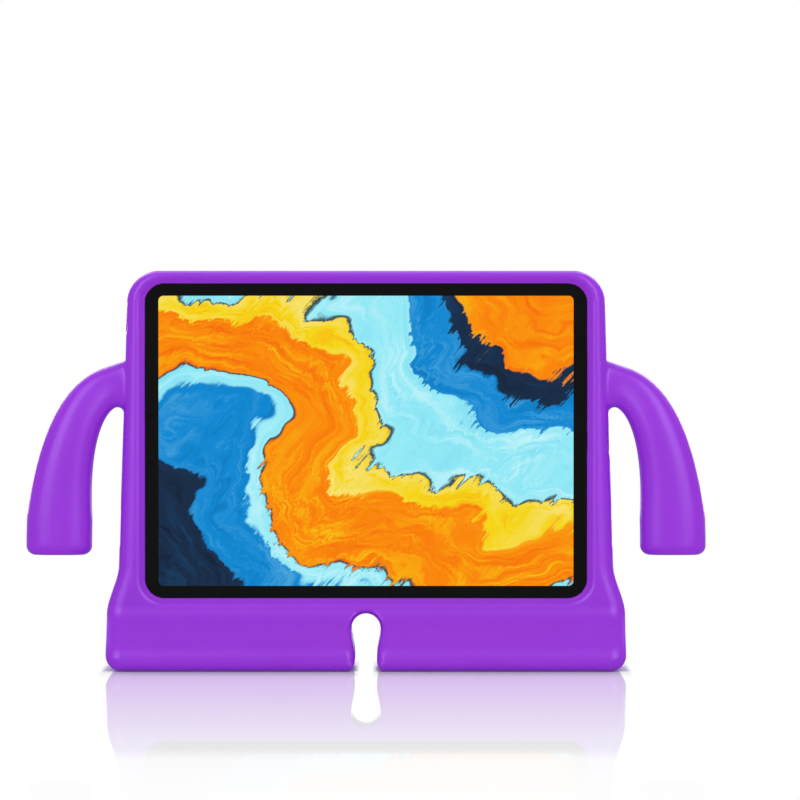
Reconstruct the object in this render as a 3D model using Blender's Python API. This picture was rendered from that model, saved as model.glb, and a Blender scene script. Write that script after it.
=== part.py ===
"""A child's moulded foam tablet case with two arms and a flared foot, holding a slim tablet.

Front view faces -Y, width runs along X, and the foot stands on Z = 0. All sizes are in metres.
The case is one foam moulding. The tablet that it holds is built from its own pieces.
"""

import math

import bmesh
import bpy
import numpy as np

# Tablet
TABLET_WIDTH = 0.2476
TABLET_HEIGHT = 0.1785
TABLET_THICKNESS = 0.0059
TABLET_CORNER = 0.0120
TABLET_LIFT = 0.0376  # the tablet's lower edge above the ground
HOUSING_WALL = 0.0026
HOUSING_BACK = 0.0009
HOUSING_EDGE = 0.0016  # rounding of the back edge
FRAME_LIP = 0.0006  # metal edge that surrounds the glass
GLASS_THICKNESS = 0.0009
DISPLAY_BORDER = 0.0083  # from the tablet's edge to the display panel's
DISPLAY_THICKNESS = 0.0011
DISPLAY_CORNER = 0.0030
FIT = 0.0003  # clearance between neighbours

# Case walls round the tablet
SIDE_WALL = 0.0079
TOP_WALL = 0.0046
BACK_WALL = 0.0100
RIM_RISE = 0.0038  # the rim's crest in front of the glass
LIP_OVERLAP_SIDE = 0.0015
LIP_OVERLAP_TOP = 0.0023
LIP_THICKNESS = 0.0012
LIP_BAND = 0.0010
RIM_SLOPE = 0.0036
RIM_DROP = 0.0011  # scale of the drop from the crest to the slope's knee
RIM_KNEE_ACROSS = 0.55  # shares of RIM_SLOPE and RIM_DROP at the knee
RIM_KNEE_DROP = 0.45

# Case outline
SIDE_TAPER = 0.0068  # how much the sides would widen from the top to the ground
TOP_CORNER = 0.0175
FOOT_FLARE = 0.0059
FOOT_CORNER = 0.0090
FLARE_TOP = 0.0585
FLARE_FULL = 0.0315  # below this height the foot's sides are upright
FOOT_SPREAD = 0.0160  # the foot stands out this far in front of and behind the body
BACK_FLARE_TOP = 0.0640
BACK_MIDDLE_SHARE = 0.75  # width of the back's flat middle as a share of the top's
FOOT_TOE = 0.0070  # height at which the foot is deepest
EDGE_INSET_TOP = 0.0043
EDGE_INSET_SIDE = 0.0088
EDGE_DEPTH_FRONT = 0.0056
EDGE_DEPTH_BACK = 0.0070
EDGE_SHARE = 0.97  # most of the rim that its rounding may take

# Arms
SHOULDER_HEIGHT = 0.1574
ARM_REACH = 0.0363  # from the case's wall to the middle of the hand
ARM_DROP = 0.0939
ARM_CURVE = 2.35  # exponent of the superellipse that the arm follows
ARM_ROOT = 0.0050  # how far the arm starts inside the wall
ELBOW_WIDTH = 0.0226
HAND_WIDTH = 0.0364
WIDTH_POWER = 0.95
WIDTH_FULL_AT = 0.78  # share of the drop at which the arm has its full width
SHOULDER_FLARE = 0.0056
SHOULDER_BLEND = 0.0090
SHOULDER_DEPTH = 0.0150
HAND_DEPTH = 0.0236
SECTION_POWER = 2.7
HAND_EDGE = 0.0052

# Keyhole notch in the foot
NOTCH_RADIUS = 0.0081
NOTCH_CENTRE = 0.0231
NOTCH_NECK = 0.0061
NOTCH_MOUTH = 0.0057
NOTCH_NECK_HEIGHT = 0.0080
NOTCH_EDGE = 0.0042  # rounding where the notch meets the foot's front and back; it fades at the mouth

# Openings in the back and the walls
CAMERA_SIDE = 0.0111  # the lens's centre from the tablet's edge
CAMERA_TOP = 0.0122
CAMERA_WINDOW_WIDTH = 0.0289
CAMERA_WINDOW_HEIGHT = 0.0186
CAMERA_WINDOW_SHIFT = 0.0053  # the window's centre from the lens's centre
WINDOW_MOUTH = 0.0028
DOCK_SIDE = 0.0092
DOCK_WINDOW_WIDTH = 0.0078
DOCK_WINDOW_HEIGHT = 0.0186
PORT_WINDOW_WIDTH = 0.0140
PORT_WINDOW_DEPTH = 0.0075
SOUND_SLOT_LENGTH = 0.0180
SOUND_SLOT_DEPTH = 0.0036
WALL_MOUTH = 0.0014
PAD_MARGIN = 0.0016
PAD_GROOVE = 0.0009
PAD_SINK = 0.0007
PAD_DEPTH = 0.0058

# Tablet details
LENS_RADIUS = 0.0052
RING_RADIUS = 0.0067
RING_RISE = 0.0014
RING_CHAMFER = 0.0004
LENS_THICKNESS = 0.0010
BARREL_DEPTH = 0.0018
FLASH_RADIUS = 0.0019
FLASH_OFFSET = 0.0151
FLASH_THICKNESS = 0.0007
MIC_RADIUS = 0.0005
MIC_OFFSET = 0.0097
DOCK_PAD_RADIUS = 0.0015
DOCK_PAD_PITCH = 0.0040
DOCK_PAD_THICKNESS = 0.0007
BUTTON_WIDTH = 0.0026
BUTTON_DEPTH = 0.0011
BUTTON_PROUD = 0.0004
BUTTON_TRAVEL = 0.0003
POWER_LENGTH = 0.0130
POWER_DROP = 0.0210  # from the tablet's top to the button's middle
VOLUME_LENGTH = 0.0125
VOLUME_UP_SIDE = 0.0270  # from the tablet's edge to the button's middle
VOLUME_PITCH = 0.0160
PORT_WIDTH = 0.0090
PORT_HEIGHT = 0.0032
PORT_LENGTH = 0.0062
PORT_SHELL = 0.0004
TONGUE_WIDTH = 0.0064
TONGUE_HEIGHT = 0.0007
TONGUE_CORNER = 0.0002
TONGUE_RECESS = 0.0012  # from the port's mouth to the tongue's tip
SPEAKER_END = 0.0413  # from the tablet's upper or lower edge to a speaker's middle
SPEAKER_LENGTH = 0.0320
SPEAKER_DEPTH = 0.0120
SPEAKER_HOLE_RADIUS = 0.0005
SPEAKER_HOLE_PITCH = 0.0022
SPEAKER_HOLES = 6
SENSOR_RADIUS = 0.0014
SENSOR_SIDE = 0.0046  # from the tablet's edge
SENSOR_PITCH = 0.0128
SENSOR_SHIFT = 0.0008
SENSOR_DEPTH = 0.0015
BATTERY_END = 0.0200  # from the tablet's upper or lower edge to a cell's
BATTERY_SIDE = 0.0150  # from a speaker to the nearest cell
CELL_CORNER = 0.0030
BOARD_WIDTH = 0.0200
BOARD_END = 0.0240
BOARD_CORNER = 0.0020
SPEAKER_CORNER = 0.0020
BOARD_THICKNESS = 0.0010
CELL_GAP = 0.0008

# Resolution
CORNER_STEPS = 6
SIDE_STEPS = 4
FLARE_STEPS = 7
EDGE_STEPS = 4
EDGE_RINGS = 4
FRONT_RINGS = 5
BACK_RINGS = 6
ARM_STATIONS = 20
ARM_SIDES = 20

# Places that follow from the sizes above
TABLET_CENTRE_Z = TABLET_LIFT + TABLET_HEIGHT / 2
TABLET_TOP = TABLET_LIFT + TABLET_HEIGHT
CASE_HEIGHT = TABLET_TOP + FIT + TOP_WALL
TOP_HALF_WIDTH = TABLET_WIDTH / 2 + FIT + SIDE_WALL
BODY_HALF = (RIM_RISE + TABLET_THICKNESS + FIT + BACK_WALL) / 2
GLASS_FACE = -BODY_HALF + RIM_RISE
TABLET_BACK = GLASS_FACE + TABLET_THICKNESS
POCKET_FLOOR = TABLET_BACK + FIT
TABLET_MID = GLASS_FACE + TABLET_THICKNESS / 2
OPENING_HALF_WIDTH = TABLET_WIDTH / 2 - LIP_OVERLAP_SIDE
OPENING_HALF_HEIGHT = TABLET_HEIGHT / 2 - LIP_OVERLAP_TOP
CRACK = 0.003  # cutters run this far past the face that they open


def smooth(value):
    """Rises from 0 to 1 with level ends."""
    value = np.clip(value, 0.0, 1.0)
    return value * value * (3.0 - 2.0 * value)


def half_width(z):
    """Half the case's width at a height: a straight taper, then a flared foot with upright sides."""
    taper = SIDE_TAPER * (CASE_HEIGHT - np.maximum(z, FLARE_FULL)) / CASE_HEIGHT
    flare = FOOT_FLARE * smooth((FLARE_TOP - z) / (FLARE_TOP - FLARE_FULL))
    return TOP_HALF_WIDTH + taper + flare


def front_depth(z):
    """Distance of the front face from the middle plane at a height."""
    top = TABLET_CENTRE_Z - OPENING_HALF_HEIGHT - LIP_BAND - RIM_SLOPE
    return BODY_HALF + FOOT_SPREAD * smooth((top - z) / (top - FOOT_TOE))


def back_depth(z):
    """Distance of the back face from the middle plane at a height."""
    return BODY_HALF + FOOT_SPREAD * smooth((BACK_FLARE_TOP - z) / (BACK_FLARE_TOP - FOOT_TOE))


def arc(centre_x, centre_z, radius, start, end, steps):
    """Points on a circle in the front view, without the last one."""
    angles = np.radians(np.linspace(start, end, steps, endpoint=False))
    return np.column_stack((centre_x + radius * np.cos(angles), centre_z + radius * np.sin(angles)))


def run(start, end, steps):
    """Evenly spaced points from start towards end, without the last one."""
    share = np.linspace(0.0, 1.0, steps, endpoint=False)[:, None]
    return np.asarray(start) * (1.0 - share) + np.asarray(end) * share


def mirrored(half):
    """Completes a right half outline, top centre to bottom centre, with its left half."""
    left = half[-2:0:-1] * np.array([-1.0, 1.0])
    return np.vstack((half, left))


def case_outline():
    """The silhouette of the body in the front view, clockwise from the top centre."""
    corner_z = CASE_HEIGHT - TOP_CORNER
    corner_x = half_width(corner_z) - TOP_CORNER
    foot_x = half_width(FOOT_CORNER) - FOOT_CORNER
    side_z = np.linspace(corner_z, FLARE_TOP, SIDE_STEPS, endpoint=False)
    flare_z = np.linspace(FLARE_TOP, FOOT_CORNER, FLARE_STEPS, endpoint=False)
    wall_z = np.concatenate((side_z, flare_z))
    half = np.vstack((
        run((0.0, CASE_HEIGHT), (corner_x, CASE_HEIGHT), EDGE_STEPS),
        arc(corner_x, corner_z, TOP_CORNER, 90.0, 0.0, CORNER_STEPS),
        np.column_stack((half_width(wall_z), wall_z)),
        arc(foot_x, FOOT_CORNER, FOOT_CORNER, 0.0, -90.0, CORNER_STEPS),
        run((foot_x, 0.0), (0.0, 0.0), EDGE_STEPS),
        np.array([[0.0, 0.0]]),
    ))
    return mirrored(half)


def frame_outline(half_x, top, bottom, radius):
    """A rounded rectangle whose points match those of case_outline one for one."""
    corner_x = half_x - radius
    half = np.vstack((
        run((0.0, top), (corner_x, top), EDGE_STEPS),
        arc(corner_x, top - radius, radius, 90.0, 0.0, CORNER_STEPS),
        run((half_x, top - radius), (half_x, bottom + radius), SIDE_STEPS),
        arc(corner_x, bottom + radius, radius, 0.0, -90.0, FLARE_STEPS + CORNER_STEPS),
        run((corner_x, bottom), (0.0, bottom), EDGE_STEPS),
        np.array([[0.0, bottom]]),
    ))
    return mirrored(half)


def opening_outline(margin):
    """The window in front of the glass, grown by a margin."""
    return frame_outline(
        OPENING_HALF_WIDTH + margin,
        TABLET_CENTRE_Z + OPENING_HALF_HEIGHT + margin,
        TABLET_CENTRE_Z - OPENING_HALF_HEIGHT - margin,
        TABLET_CORNER - LIP_OVERLAP_SIDE + margin,
    )


def rim_width(outline):
    """Distance from points outside it to the rim's crest, which is a rounded rectangle."""
    margin = LIP_BAND + RIM_SLOPE
    radius = TABLET_CORNER - LIP_OVERLAP_SIDE + margin
    half = np.array((OPENING_HALF_WIDTH, OPENING_HALF_HEIGHT)) + margin - radius
    beyond = np.maximum(np.abs(outline - (0.0, TABLET_CENTRE_Z)) - half, 0.0)
    return np.hypot(beyond[:, 0], beyond[:, 1]) - radius


def inward_normals(outline):
    """Unit vectors that point into a clockwise closed outline."""
    along = np.roll(outline, -1, axis=0) - np.roll(outline, 1, axis=0)
    normals = np.column_stack((along[:, 1], -along[:, 0]))
    return normals / np.linalg.norm(normals, axis=1, keepdims=True)


def place(outline, y):
    """Front view points at a depth, which may differ from point to point."""
    return np.column_stack((outline[:, 0], np.broadcast_to(y, len(outline)), outline[:, 1]))


def rings_mesh(name, rings):
    """A closed solid lofted through rings of equal length, with a flat face on each end."""
    points = np.vstack(rings)
    count = len(rings[0])
    faces = []
    for level in range(len(rings) - 1):
        start = level * count
        for i in range(count):
            j = (i + 1) % count
            faces.append((start + i, start + j, start + count + j, start + count + i))
    faces.append(tuple(reversed(range(count))))
    faces.append(tuple(range(len(points) - count, len(points))))
    mesh = bpy.data.meshes.new(name)
    mesh.from_pydata(points.tolist(), [], faces)
    solid = bmesh.new()
    solid.from_mesh(mesh)
    bmesh.ops.recalc_face_normals(solid, faces=solid.faces)
    if solid.calc_volume(signed=True) < 0.0:
        bmesh.ops.reverse_faces(solid, faces=solid.faces)
    solid.to_mesh(mesh)
    solid.free()
    return mesh


def rounded_rectangle(half_a, half_b, radius, steps=5):
    """A rounded rectangle about the origin, counter-clockwise. A full radius makes a pill."""
    radius = min(radius, half_a - 1e-6, half_b - 1e-6)
    corners = ((1, 1, 0.0), (-1, 1, 90.0), (-1, -1, 180.0), (1, -1, 270.0))
    pieces = []
    for sign_a, sign_b, start in corners:
        angles = np.radians(np.linspace(start, start + 90.0, steps + 1))
        pieces.append(np.column_stack((
            sign_a * (half_a - radius) + radius * np.cos(angles),
            sign_b * (half_b - radius) + radius * np.sin(angles),
        )))
    return np.vstack(pieces)


def circle(radius, sides):
    """A regular polygon about the origin."""
    angles = np.linspace(0.0, 2.0 * math.pi, sides, endpoint=False)
    return np.column_stack((radius * np.cos(angles), radius * np.sin(angles)))


def along_y(outline, x, y, z):
    """An outline in the XZ plane, centred on a point."""
    return np.column_stack((x + outline[:, 0], np.full(len(outline), y), z + outline[:, 1]))


def along_x(outline, x, y, z):
    """An outline in the YZ plane, centred on a point."""
    return np.column_stack((np.full(len(outline), x), y + outline[:, 0], z + outline[:, 1]))


def along_z(outline, x, y, z):
    """An outline in the XY plane, centred on a point."""
    return np.column_stack((x + outline[:, 0], y + outline[:, 1], np.full(len(outline), z)))


def new_material(name, colour, roughness, metallic=0.0):
    """A Principled material with one colour."""
    material = bpy.data.materials.new(name)
    material.use_nodes = True
    shader = material.node_tree.nodes["Principled BSDF"]
    shader.inputs["Base Color"].default_value = (*colour, 1.0)
    shader.inputs["Roughness"].default_value = roughness
    shader.inputs["Metallic"].default_value = metallic
    material.diffuse_color = (*colour, 1.0)
    return material


def add_object(name, mesh, material=None, smooth_angle=35.0):
    """Links a mesh to the scene under a name, shaded smooth up to an angle."""
    obj = bpy.data.objects.new(name, mesh)
    bpy.context.scene.collection.objects.link(obj)
    if material:
        mesh.materials.append(material)
    mesh.shade_smooth()
    mesh.set_sharp_from_angle(angle=math.radians(smooth_angle))
    return obj


def add_cutter(name, meshes):
    """One hidden object that holds several closed cutting shapes."""
    joined = bmesh.new()
    for mesh in meshes:
        joined.from_mesh(mesh)
    result = bpy.data.meshes.new(name)
    joined.to_mesh(result)
    joined.free()
    obj = bpy.data.objects.new(name, result)
    bpy.context.scene.collection.objects.link(obj)
    obj.hide_render = True
    obj.display_type = "WIRE"
    return obj


def add_boolean(obj, tool, operation):
    """Adds an exact Boolean with another object."""
    modifier = obj.modifiers.new(f"{operation.lower()}_{tool.name}", "BOOLEAN")
    modifier.operation = operation
    modifier.solver = "EXACT"
    modifier.object = tool


def body_rings():
    """The case's skin as rings, from the pocket's floor over the lip and rim to the back."""
    outline = case_outline()
    normals = inward_normals(outline)
    side_share = np.abs(normals[:, 0])
    inset = EDGE_INSET_TOP + (EDGE_INSET_SIDE - EDGE_INSET_TOP) * side_share
    inset = np.minimum(inset, EDGE_SHARE * rim_width(outline))
    pocket = frame_outline(
        TABLET_WIDTH / 2 + FIT, TABLET_TOP + FIT, TABLET_LIFT - FIT, TABLET_CORNER + FIT
    )
    opening = opening_outline(0.0)
    lip_back = GLASS_FACE - FIT
    lip_front = lip_back - LIP_THICKNESS
    rings = [
        place(pocket, POCKET_FLOOR),
        place(pocket, lip_back),
        place(opening, lip_back),
        place(opening, lip_front),
        place(opening_outline(LIP_BAND), lip_front),
        place(opening_outline(LIP_BAND + RIM_SLOPE * RIM_KNEE_ACROSS), -BODY_HALF + RIM_DROP * RIM_KNEE_DROP),
    ]
    crest = opening_outline(LIP_BAND + RIM_SLOPE)
    edge = outline + normals * inset[:, None]
    for share in np.linspace(0.0, 1.0, FRONT_RINGS, endpoint=False):
        between = crest * (1.0 - share) + edge * share
        rings.append(place(between, -front_depth(between[:, 1])))
    for angle in np.linspace(math.pi / 2, 0.0, EDGE_RINGS + 1):
        shrunk = outline + normals * (inset * (1.0 - math.cos(angle)))[:, None]
        depth = front_depth(shrunk[:, 1]) - EDGE_DEPTH_FRONT * (1.0 - math.sin(angle))
        rings.append(place(shrunk, -depth))
    for angle in np.linspace(0.0, math.pi / 2, EDGE_RINGS + 1):
        shrunk = outline + normals * (inset * (1.0 - math.cos(angle)))[:, None]
        depth = back_depth(shrunk[:, 1]) - EDGE_DEPTH_BACK * (1.0 - math.sin(angle))
        rings.append(place(shrunk, depth))
    middle = frame_outline(
        TOP_HALF_WIDTH * BACK_MIDDLE_SHARE, CASE_HEIGHT - TOP_CORNER, BACK_FLARE_TOP, TOP_CORNER
    )
    for share in np.linspace(0.0, 1.0, BACK_RINGS + 1)[1:]:
        between = edge * (1.0 - share) + middle * share
        rings.append(place(between, back_depth(between[:, 1])))
    return rings


def arm_rings(side):
    """Sections of one arm along a quarter superellipse that leaves the wall level and ends upright."""
    wall = half_width(SHOULDER_HEIGHT)
    turns = np.linspace(0.0, math.pi / 2, ARM_STATIONS)
    x = wall + ARM_REACH * np.sin(turns) ** (2.0 / ARM_CURVE)
    z = SHOULDER_HEIGHT - (ARM_DROP - HAND_EDGE) * (1.0 - np.cos(turns) ** (2.0 / ARM_CURVE))
    x = np.concatenate(([wall - ARM_ROOT], x))
    z = np.concatenate(([SHOULDER_HEIGHT], z))
    along = np.gradient(np.column_stack((x, z)), axis=0)
    along[0] = (1.0, 0.0)
    along[-1] = (0.0, -1.0)
    along /= np.linalg.norm(along, axis=1, keepdims=True)
    drop = (SHOULDER_HEIGHT - z) / (ARM_DROP * WIDTH_FULL_AT)
    growth = np.clip(drop, 0.0, 1.0) ** WIDTH_POWER
    flare = SHOULDER_FLARE * np.clip(1.0 - (x - wall) / SHOULDER_BLEND, 0.0, 1.0) ** 2
    width = ELBOW_WIDTH + (HAND_WIDTH - ELBOW_WIDTH) * growth + flare
    width[0] = width[1]
    depth = SHOULDER_DEPTH + (HAND_DEPTH - SHOULDER_DEPTH) * smooth((x - wall) / ARM_REACH)
    angles = np.linspace(0.0, 2.0 * math.pi, ARM_SIDES, endpoint=False)
    across = np.sign(np.cos(angles)) * np.abs(np.cos(angles)) ** (2.0 / SECTION_POWER)
    through = np.sign(np.sin(angles)) * np.abs(np.sin(angles)) ** (2.0 / SECTION_POWER)
    rings = []

    def section(i, advance, shrink):
        centre = np.array([x[i], z[i]]) + along[i] * advance
        normal = np.array([-along[i][1], along[i][0]])
        half = width[i] / 2 - shrink
        flat = centre + np.outer(across * half, normal)
        y = through * (depth[i] / 2 - shrink)
        return np.column_stack((side * flat[:, 0], y, flat[:, 1]))

    for i in range(len(x)):
        rings.append(section(i, 0.0, 0.0))
    for angle in np.linspace(0.0, math.pi / 2, EDGE_RINGS + 1)[1:]:
        rings.append(section(len(x) - 1, HAND_EDGE * math.sin(angle), HAND_EDGE * (1.0 - math.cos(angle))))
    return rings


def notch_outline():
    """The keyhole in the foot: a round head, a narrower neck and a mouth with rounded corners."""
    reach = NOTCH_NECK + NOTCH_MOUTH
    mouth = np.linspace(0.0, math.pi / 2, CORNER_STEPS + 1)
    right_mouth = np.column_stack((reach - NOTCH_MOUTH * np.sin(mouth), NOTCH_MOUTH * (1.0 - np.cos(mouth))))
    neck_z = np.linspace(NOTCH_NECK_HEIGHT, NOTCH_CENTRE, CORNER_STEPS)[:-1]
    neck_x = NOTCH_NECK + (NOTCH_RADIUS - NOTCH_NECK) * smooth(
        (neck_z - NOTCH_NECK_HEIGHT) / (NOTCH_CENTRE - NOTCH_NECK_HEIGHT)
    )
    head = np.linspace(0.0, math.pi / 2, CORNER_STEPS + 1)
    right_head = np.column_stack((NOTCH_RADIUS * np.cos(head), NOTCH_CENTRE + NOTCH_RADIUS * np.sin(head)))
    below = np.array([[reach, -CRACK]])
    right = np.vstack((below, right_mouth, np.column_stack((neck_x, neck_z)), right_head))
    left = right[-2::-1] * np.array([-1.0, 1.0])
    return np.vstack((right, left))


def notch_rings():
    """The keyhole carried from front to back, its edge rounded where it meets the foot's curved faces."""
    outline = notch_outline()
    outward = inward_normals(outline)  # this outline runs the other way round
    heights = outline[:, 1]
    reach = BODY_HALF + FOOT_SPREAD + CRACK
    edge = NOTCH_EDGE * smooth(heights / NOTCH_MOUTH)
    grown = outline + outward * edge[:, None]
    rings = [place(grown, -reach)]
    angles = np.linspace(0.0, math.pi / 2, EDGE_RINGS)
    for angle in angles[::-1]:
        wider = outline + outward * edge[:, None] * (1.0 - math.cos(angle))
        rings.append(place(wider, -front_depth(heights) + edge * (1.0 - math.sin(angle))))
    for angle in angles:
        wider = outline + outward * edge[:, None] * (1.0 - math.cos(angle))
        rings.append(place(wider, back_depth(heights) - edge * (1.0 - math.sin(angle))))
    rings.append(place(grown, reach))
    return rings


def window_rings(half_a, half_b, mouth, inner, outer, direction):
    """(outline, depth) pairs of a pill-shaped hole whose mouth opens with a rounded edge."""
    pairs = [(rounded_rectangle(half_a, half_b, min(half_a, half_b)), inner)]
    for angle in np.linspace(0.0, math.pi / 2, EDGE_RINGS + 1):
        grow = mouth * (1.0 - math.cos(angle))
        radius = min(half_a, half_b) + grow
        pill = rounded_rectangle(half_a + grow, half_b + grow, radius)
        pairs.append((pill, outer - direction * mouth * (1.0 - math.sin(angle))))
    pairs.append((pairs[-1][0], outer + direction * CRACK))
    return pairs


def lens_place():
    """Where the rear lens's axis meets the front view plane."""
    return -TABLET_WIDTH / 2 + CAMERA_SIDE, TABLET_TOP - CAMERA_TOP


def button_places():
    """(name, centre x, centre z, length, upright) of each button on the tablet's edge."""
    power_z = TABLET_TOP - POWER_DROP
    volume_x = -TABLET_WIDTH / 2 + VOLUME_UP_SIDE
    return (
        ("power_button", -TABLET_WIDTH / 2, power_z, POWER_LENGTH, True),
        ("volume_up_button", volume_x, TABLET_TOP, VOLUME_LENGTH, False),
        ("volume_down_button", volume_x + VOLUME_PITCH, TABLET_TOP, VOLUME_LENGTH, False),
    )


def edge_rings(upright, length, width, x, z, near, far):
    """Two rings of a pill that runs inward through the tablet's left or top edge."""
    pill = rounded_rectangle(width / 2, length / 2, width / 2, steps=4)
    if upright:
        return [along_x(pill, x - near, TABLET_MID, z), along_x(pill, x + far, TABLET_MID, z)]
    turned = pill[:, ::-1]
    return [along_z(turned, x, TABLET_MID, z + near), along_z(turned, x, TABLET_MID, z - far)]


def pad_cutters():
    """Shallow grooves that outline the soft pads over the buttons."""
    power = button_places()[0]
    up, down = button_places()[1:]
    wall_x = half_width(power[2])
    outer_y = PAD_DEPTH / 2
    cutters = []
    pads = (
        (True, -wall_x, power[2], power[3] / 2 + PAD_MARGIN),
        (False, (up[1] + down[1]) / 2, CASE_HEIGHT, (down[1] - up[1] + up[3]) / 2 + PAD_MARGIN),
    )
    for index, (upright, x, z, half_length) in enumerate(pads):
        levels = (CRACK, -PAD_SINK)
        loops = []
        for grow in (PAD_GROOVE, 0.0):
            pill = rounded_rectangle(outer_y + grow, half_length + grow, outer_y + grow, steps=6)
            for level in levels:
                if upright:
                    loops.append(along_x(pill, x - level, TABLET_MID, z))
                else:
                    loops.append(along_z(pill[:, ::-1], x, TABLET_MID, z + level))
        outside_top, outside_low, inside_top, inside_low = loops
        cutters.append(ring_mesh(f"pad_groove_{index}", [outside_top, outside_low, inside_low, inside_top]))
    return cutters


def ring_mesh(name, loops):
    """A closed ring-shaped solid: loops joined round its section, with no end faces."""
    points = np.vstack(loops)
    count = len(loops[0])
    faces = []
    for level in range(len(loops)):
        start = level * count
        following = ((level + 1) % len(loops)) * count
        for i in range(count):
            j = (i + 1) % count
            faces.append((start + i, start + j, following + j, following + i))
    mesh = bpy.data.meshes.new(name)
    mesh.from_pydata(points.tolist(), [], faces)
    solid = bmesh.new()
    solid.from_mesh(mesh)
    bmesh.ops.recalc_face_normals(solid, faces=solid.faces)
    if solid.calc_volume(signed=True) < 0.0:
        bmesh.ops.reverse_faces(solid, faces=solid.faces)
    solid.to_mesh(mesh)
    solid.free()
    return mesh


def foam_cutters():
    """Every hole in the foam: notch, windows, port, sound slots, pads and room for the buttons."""
    meshes = []
    meshes.append(rings_mesh("notch", notch_rings()))
    lens_x, lens_z = lens_place()
    inside = POCKET_FLOOR - CRACK / 2
    camera = window_rings(
        CAMERA_WINDOW_WIDTH / 2, CAMERA_WINDOW_HEIGHT / 2, WINDOW_MOUTH, inside, BODY_HALF, 1.0
    )
    camera_x = lens_x + CAMERA_WINDOW_SHIFT
    meshes.append(rings_mesh("camera_window", [along_y(o, camera_x, y, lens_z) for o, y in camera]))
    dock = window_rings(
        DOCK_WINDOW_WIDTH / 2, DOCK_WINDOW_HEIGHT / 2, WINDOW_MOUTH, inside, BODY_HALF, 1.0
    )
    dock_x = TABLET_WIDTH / 2 - DOCK_SIDE
    meshes.append(rings_mesh("dock_window", [along_y(o, dock_x, y, TABLET_CENTRE_Z) for o, y in dock]))
    sound_z = TABLET_LIFT + SPEAKER_END
    wall_holes = [
        ("port_window", 1.0, TABLET_CENTRE_Z, PORT_WINDOW_WIDTH, PORT_WINDOW_DEPTH),
        ("sound_slot_right", 1.0, sound_z, SOUND_SLOT_LENGTH, SOUND_SLOT_DEPTH),
        ("sound_slot_left", -1.0, sound_z, SOUND_SLOT_LENGTH, SOUND_SLOT_DEPTH),
    ]
    for name, side, z, length, depth in wall_holes:
        pairs = window_rings(
            depth / 2, length / 2, WALL_MOUTH, TABLET_WIDTH / 2 - CRACK / 2, half_width(z), 1.0
        )
        meshes.append(rings_mesh(name, [along_x(o, side * x, TABLET_MID, z) for o, x in pairs]))
    for name, x, z, length, upright in button_places():
        room = BUTTON_PROUD + FIT
        rings = edge_rings(upright, length + 2 * FIT, BUTTON_WIDTH + 2 * FIT, x, z, room, CRACK / 2)
        meshes.append(rings_mesh(f"{name}_room", rings))
    return meshes + pad_cutters()


def build_foam_case(material):
    """The foam moulding: body, two arms joined on, and its openings cut out."""
    case = add_object("foam_case", rings_mesh("foam_case", body_rings()), material)
    for side, name in ((-1.0, "left_arm_form"), (1.0, "right_arm_form")):
        arm = add_cutter(name, [rings_mesh(name, arm_rings(side))])
        add_boolean(case, arm, "UNION")
    add_boolean(case, add_cutter("foam_openings", foam_cutters()), "DIFFERENCE")
    return case


def tablet_outline(inset, steps=5):
    """The tablet's outline about its centre, shrunk by an inset."""
    return rounded_rectangle(
        TABLET_WIDTH / 2 - inset, TABLET_HEIGHT / 2 - inset, TABLET_CORNER - inset, steps
    )


def build_housing(material):
    """The metal tray: open at the front, with a step for the glass and a rounded back edge."""
    ledge = GLASS_FACE + GLASS_THICKNESS + FIT
    floor = TABLET_BACK - HOUSING_BACK
    rings = [
        along_y(tablet_outline(HOUSING_WALL), 0.0, floor, TABLET_CENTRE_Z),
        along_y(tablet_outline(HOUSING_WALL), 0.0, ledge, TABLET_CENTRE_Z),
        along_y(tablet_outline(FRAME_LIP), 0.0, ledge, TABLET_CENTRE_Z),
        along_y(tablet_outline(FRAME_LIP), 0.0, GLASS_FACE, TABLET_CENTRE_Z),
        along_y(tablet_outline(0.0), 0.0, GLASS_FACE, TABLET_CENTRE_Z),
    ]
    for angle in np.linspace(0.0, math.pi / 2, EDGE_RINGS + 1):
        inset = HOUSING_EDGE * (1.0 - math.cos(angle))
        y = TABLET_BACK - HOUSING_EDGE * (1.0 - math.sin(angle))
        rings.append(along_y(tablet_outline(inset), 0.0, y, TABLET_CENTRE_Z))
    housing = add_object("tablet_housing", rings_mesh("tablet_housing", rings), material)
    add_boolean(housing, add_cutter("housing_openings", housing_cutters()), "DIFFERENCE")
    return housing


def speaker_places():
    """(name, side, centre height) of the four speakers at the tablet's short sides."""
    upper = TABLET_TOP - SPEAKER_END
    lower = TABLET_LIFT + SPEAKER_END
    return (
        ("speaker_upper_left", -1.0, upper),
        ("speaker_lower_left", -1.0, lower),
        ("speaker_upper_right", 1.0, upper),
        ("speaker_lower_right", 1.0, lower),
    )


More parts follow.
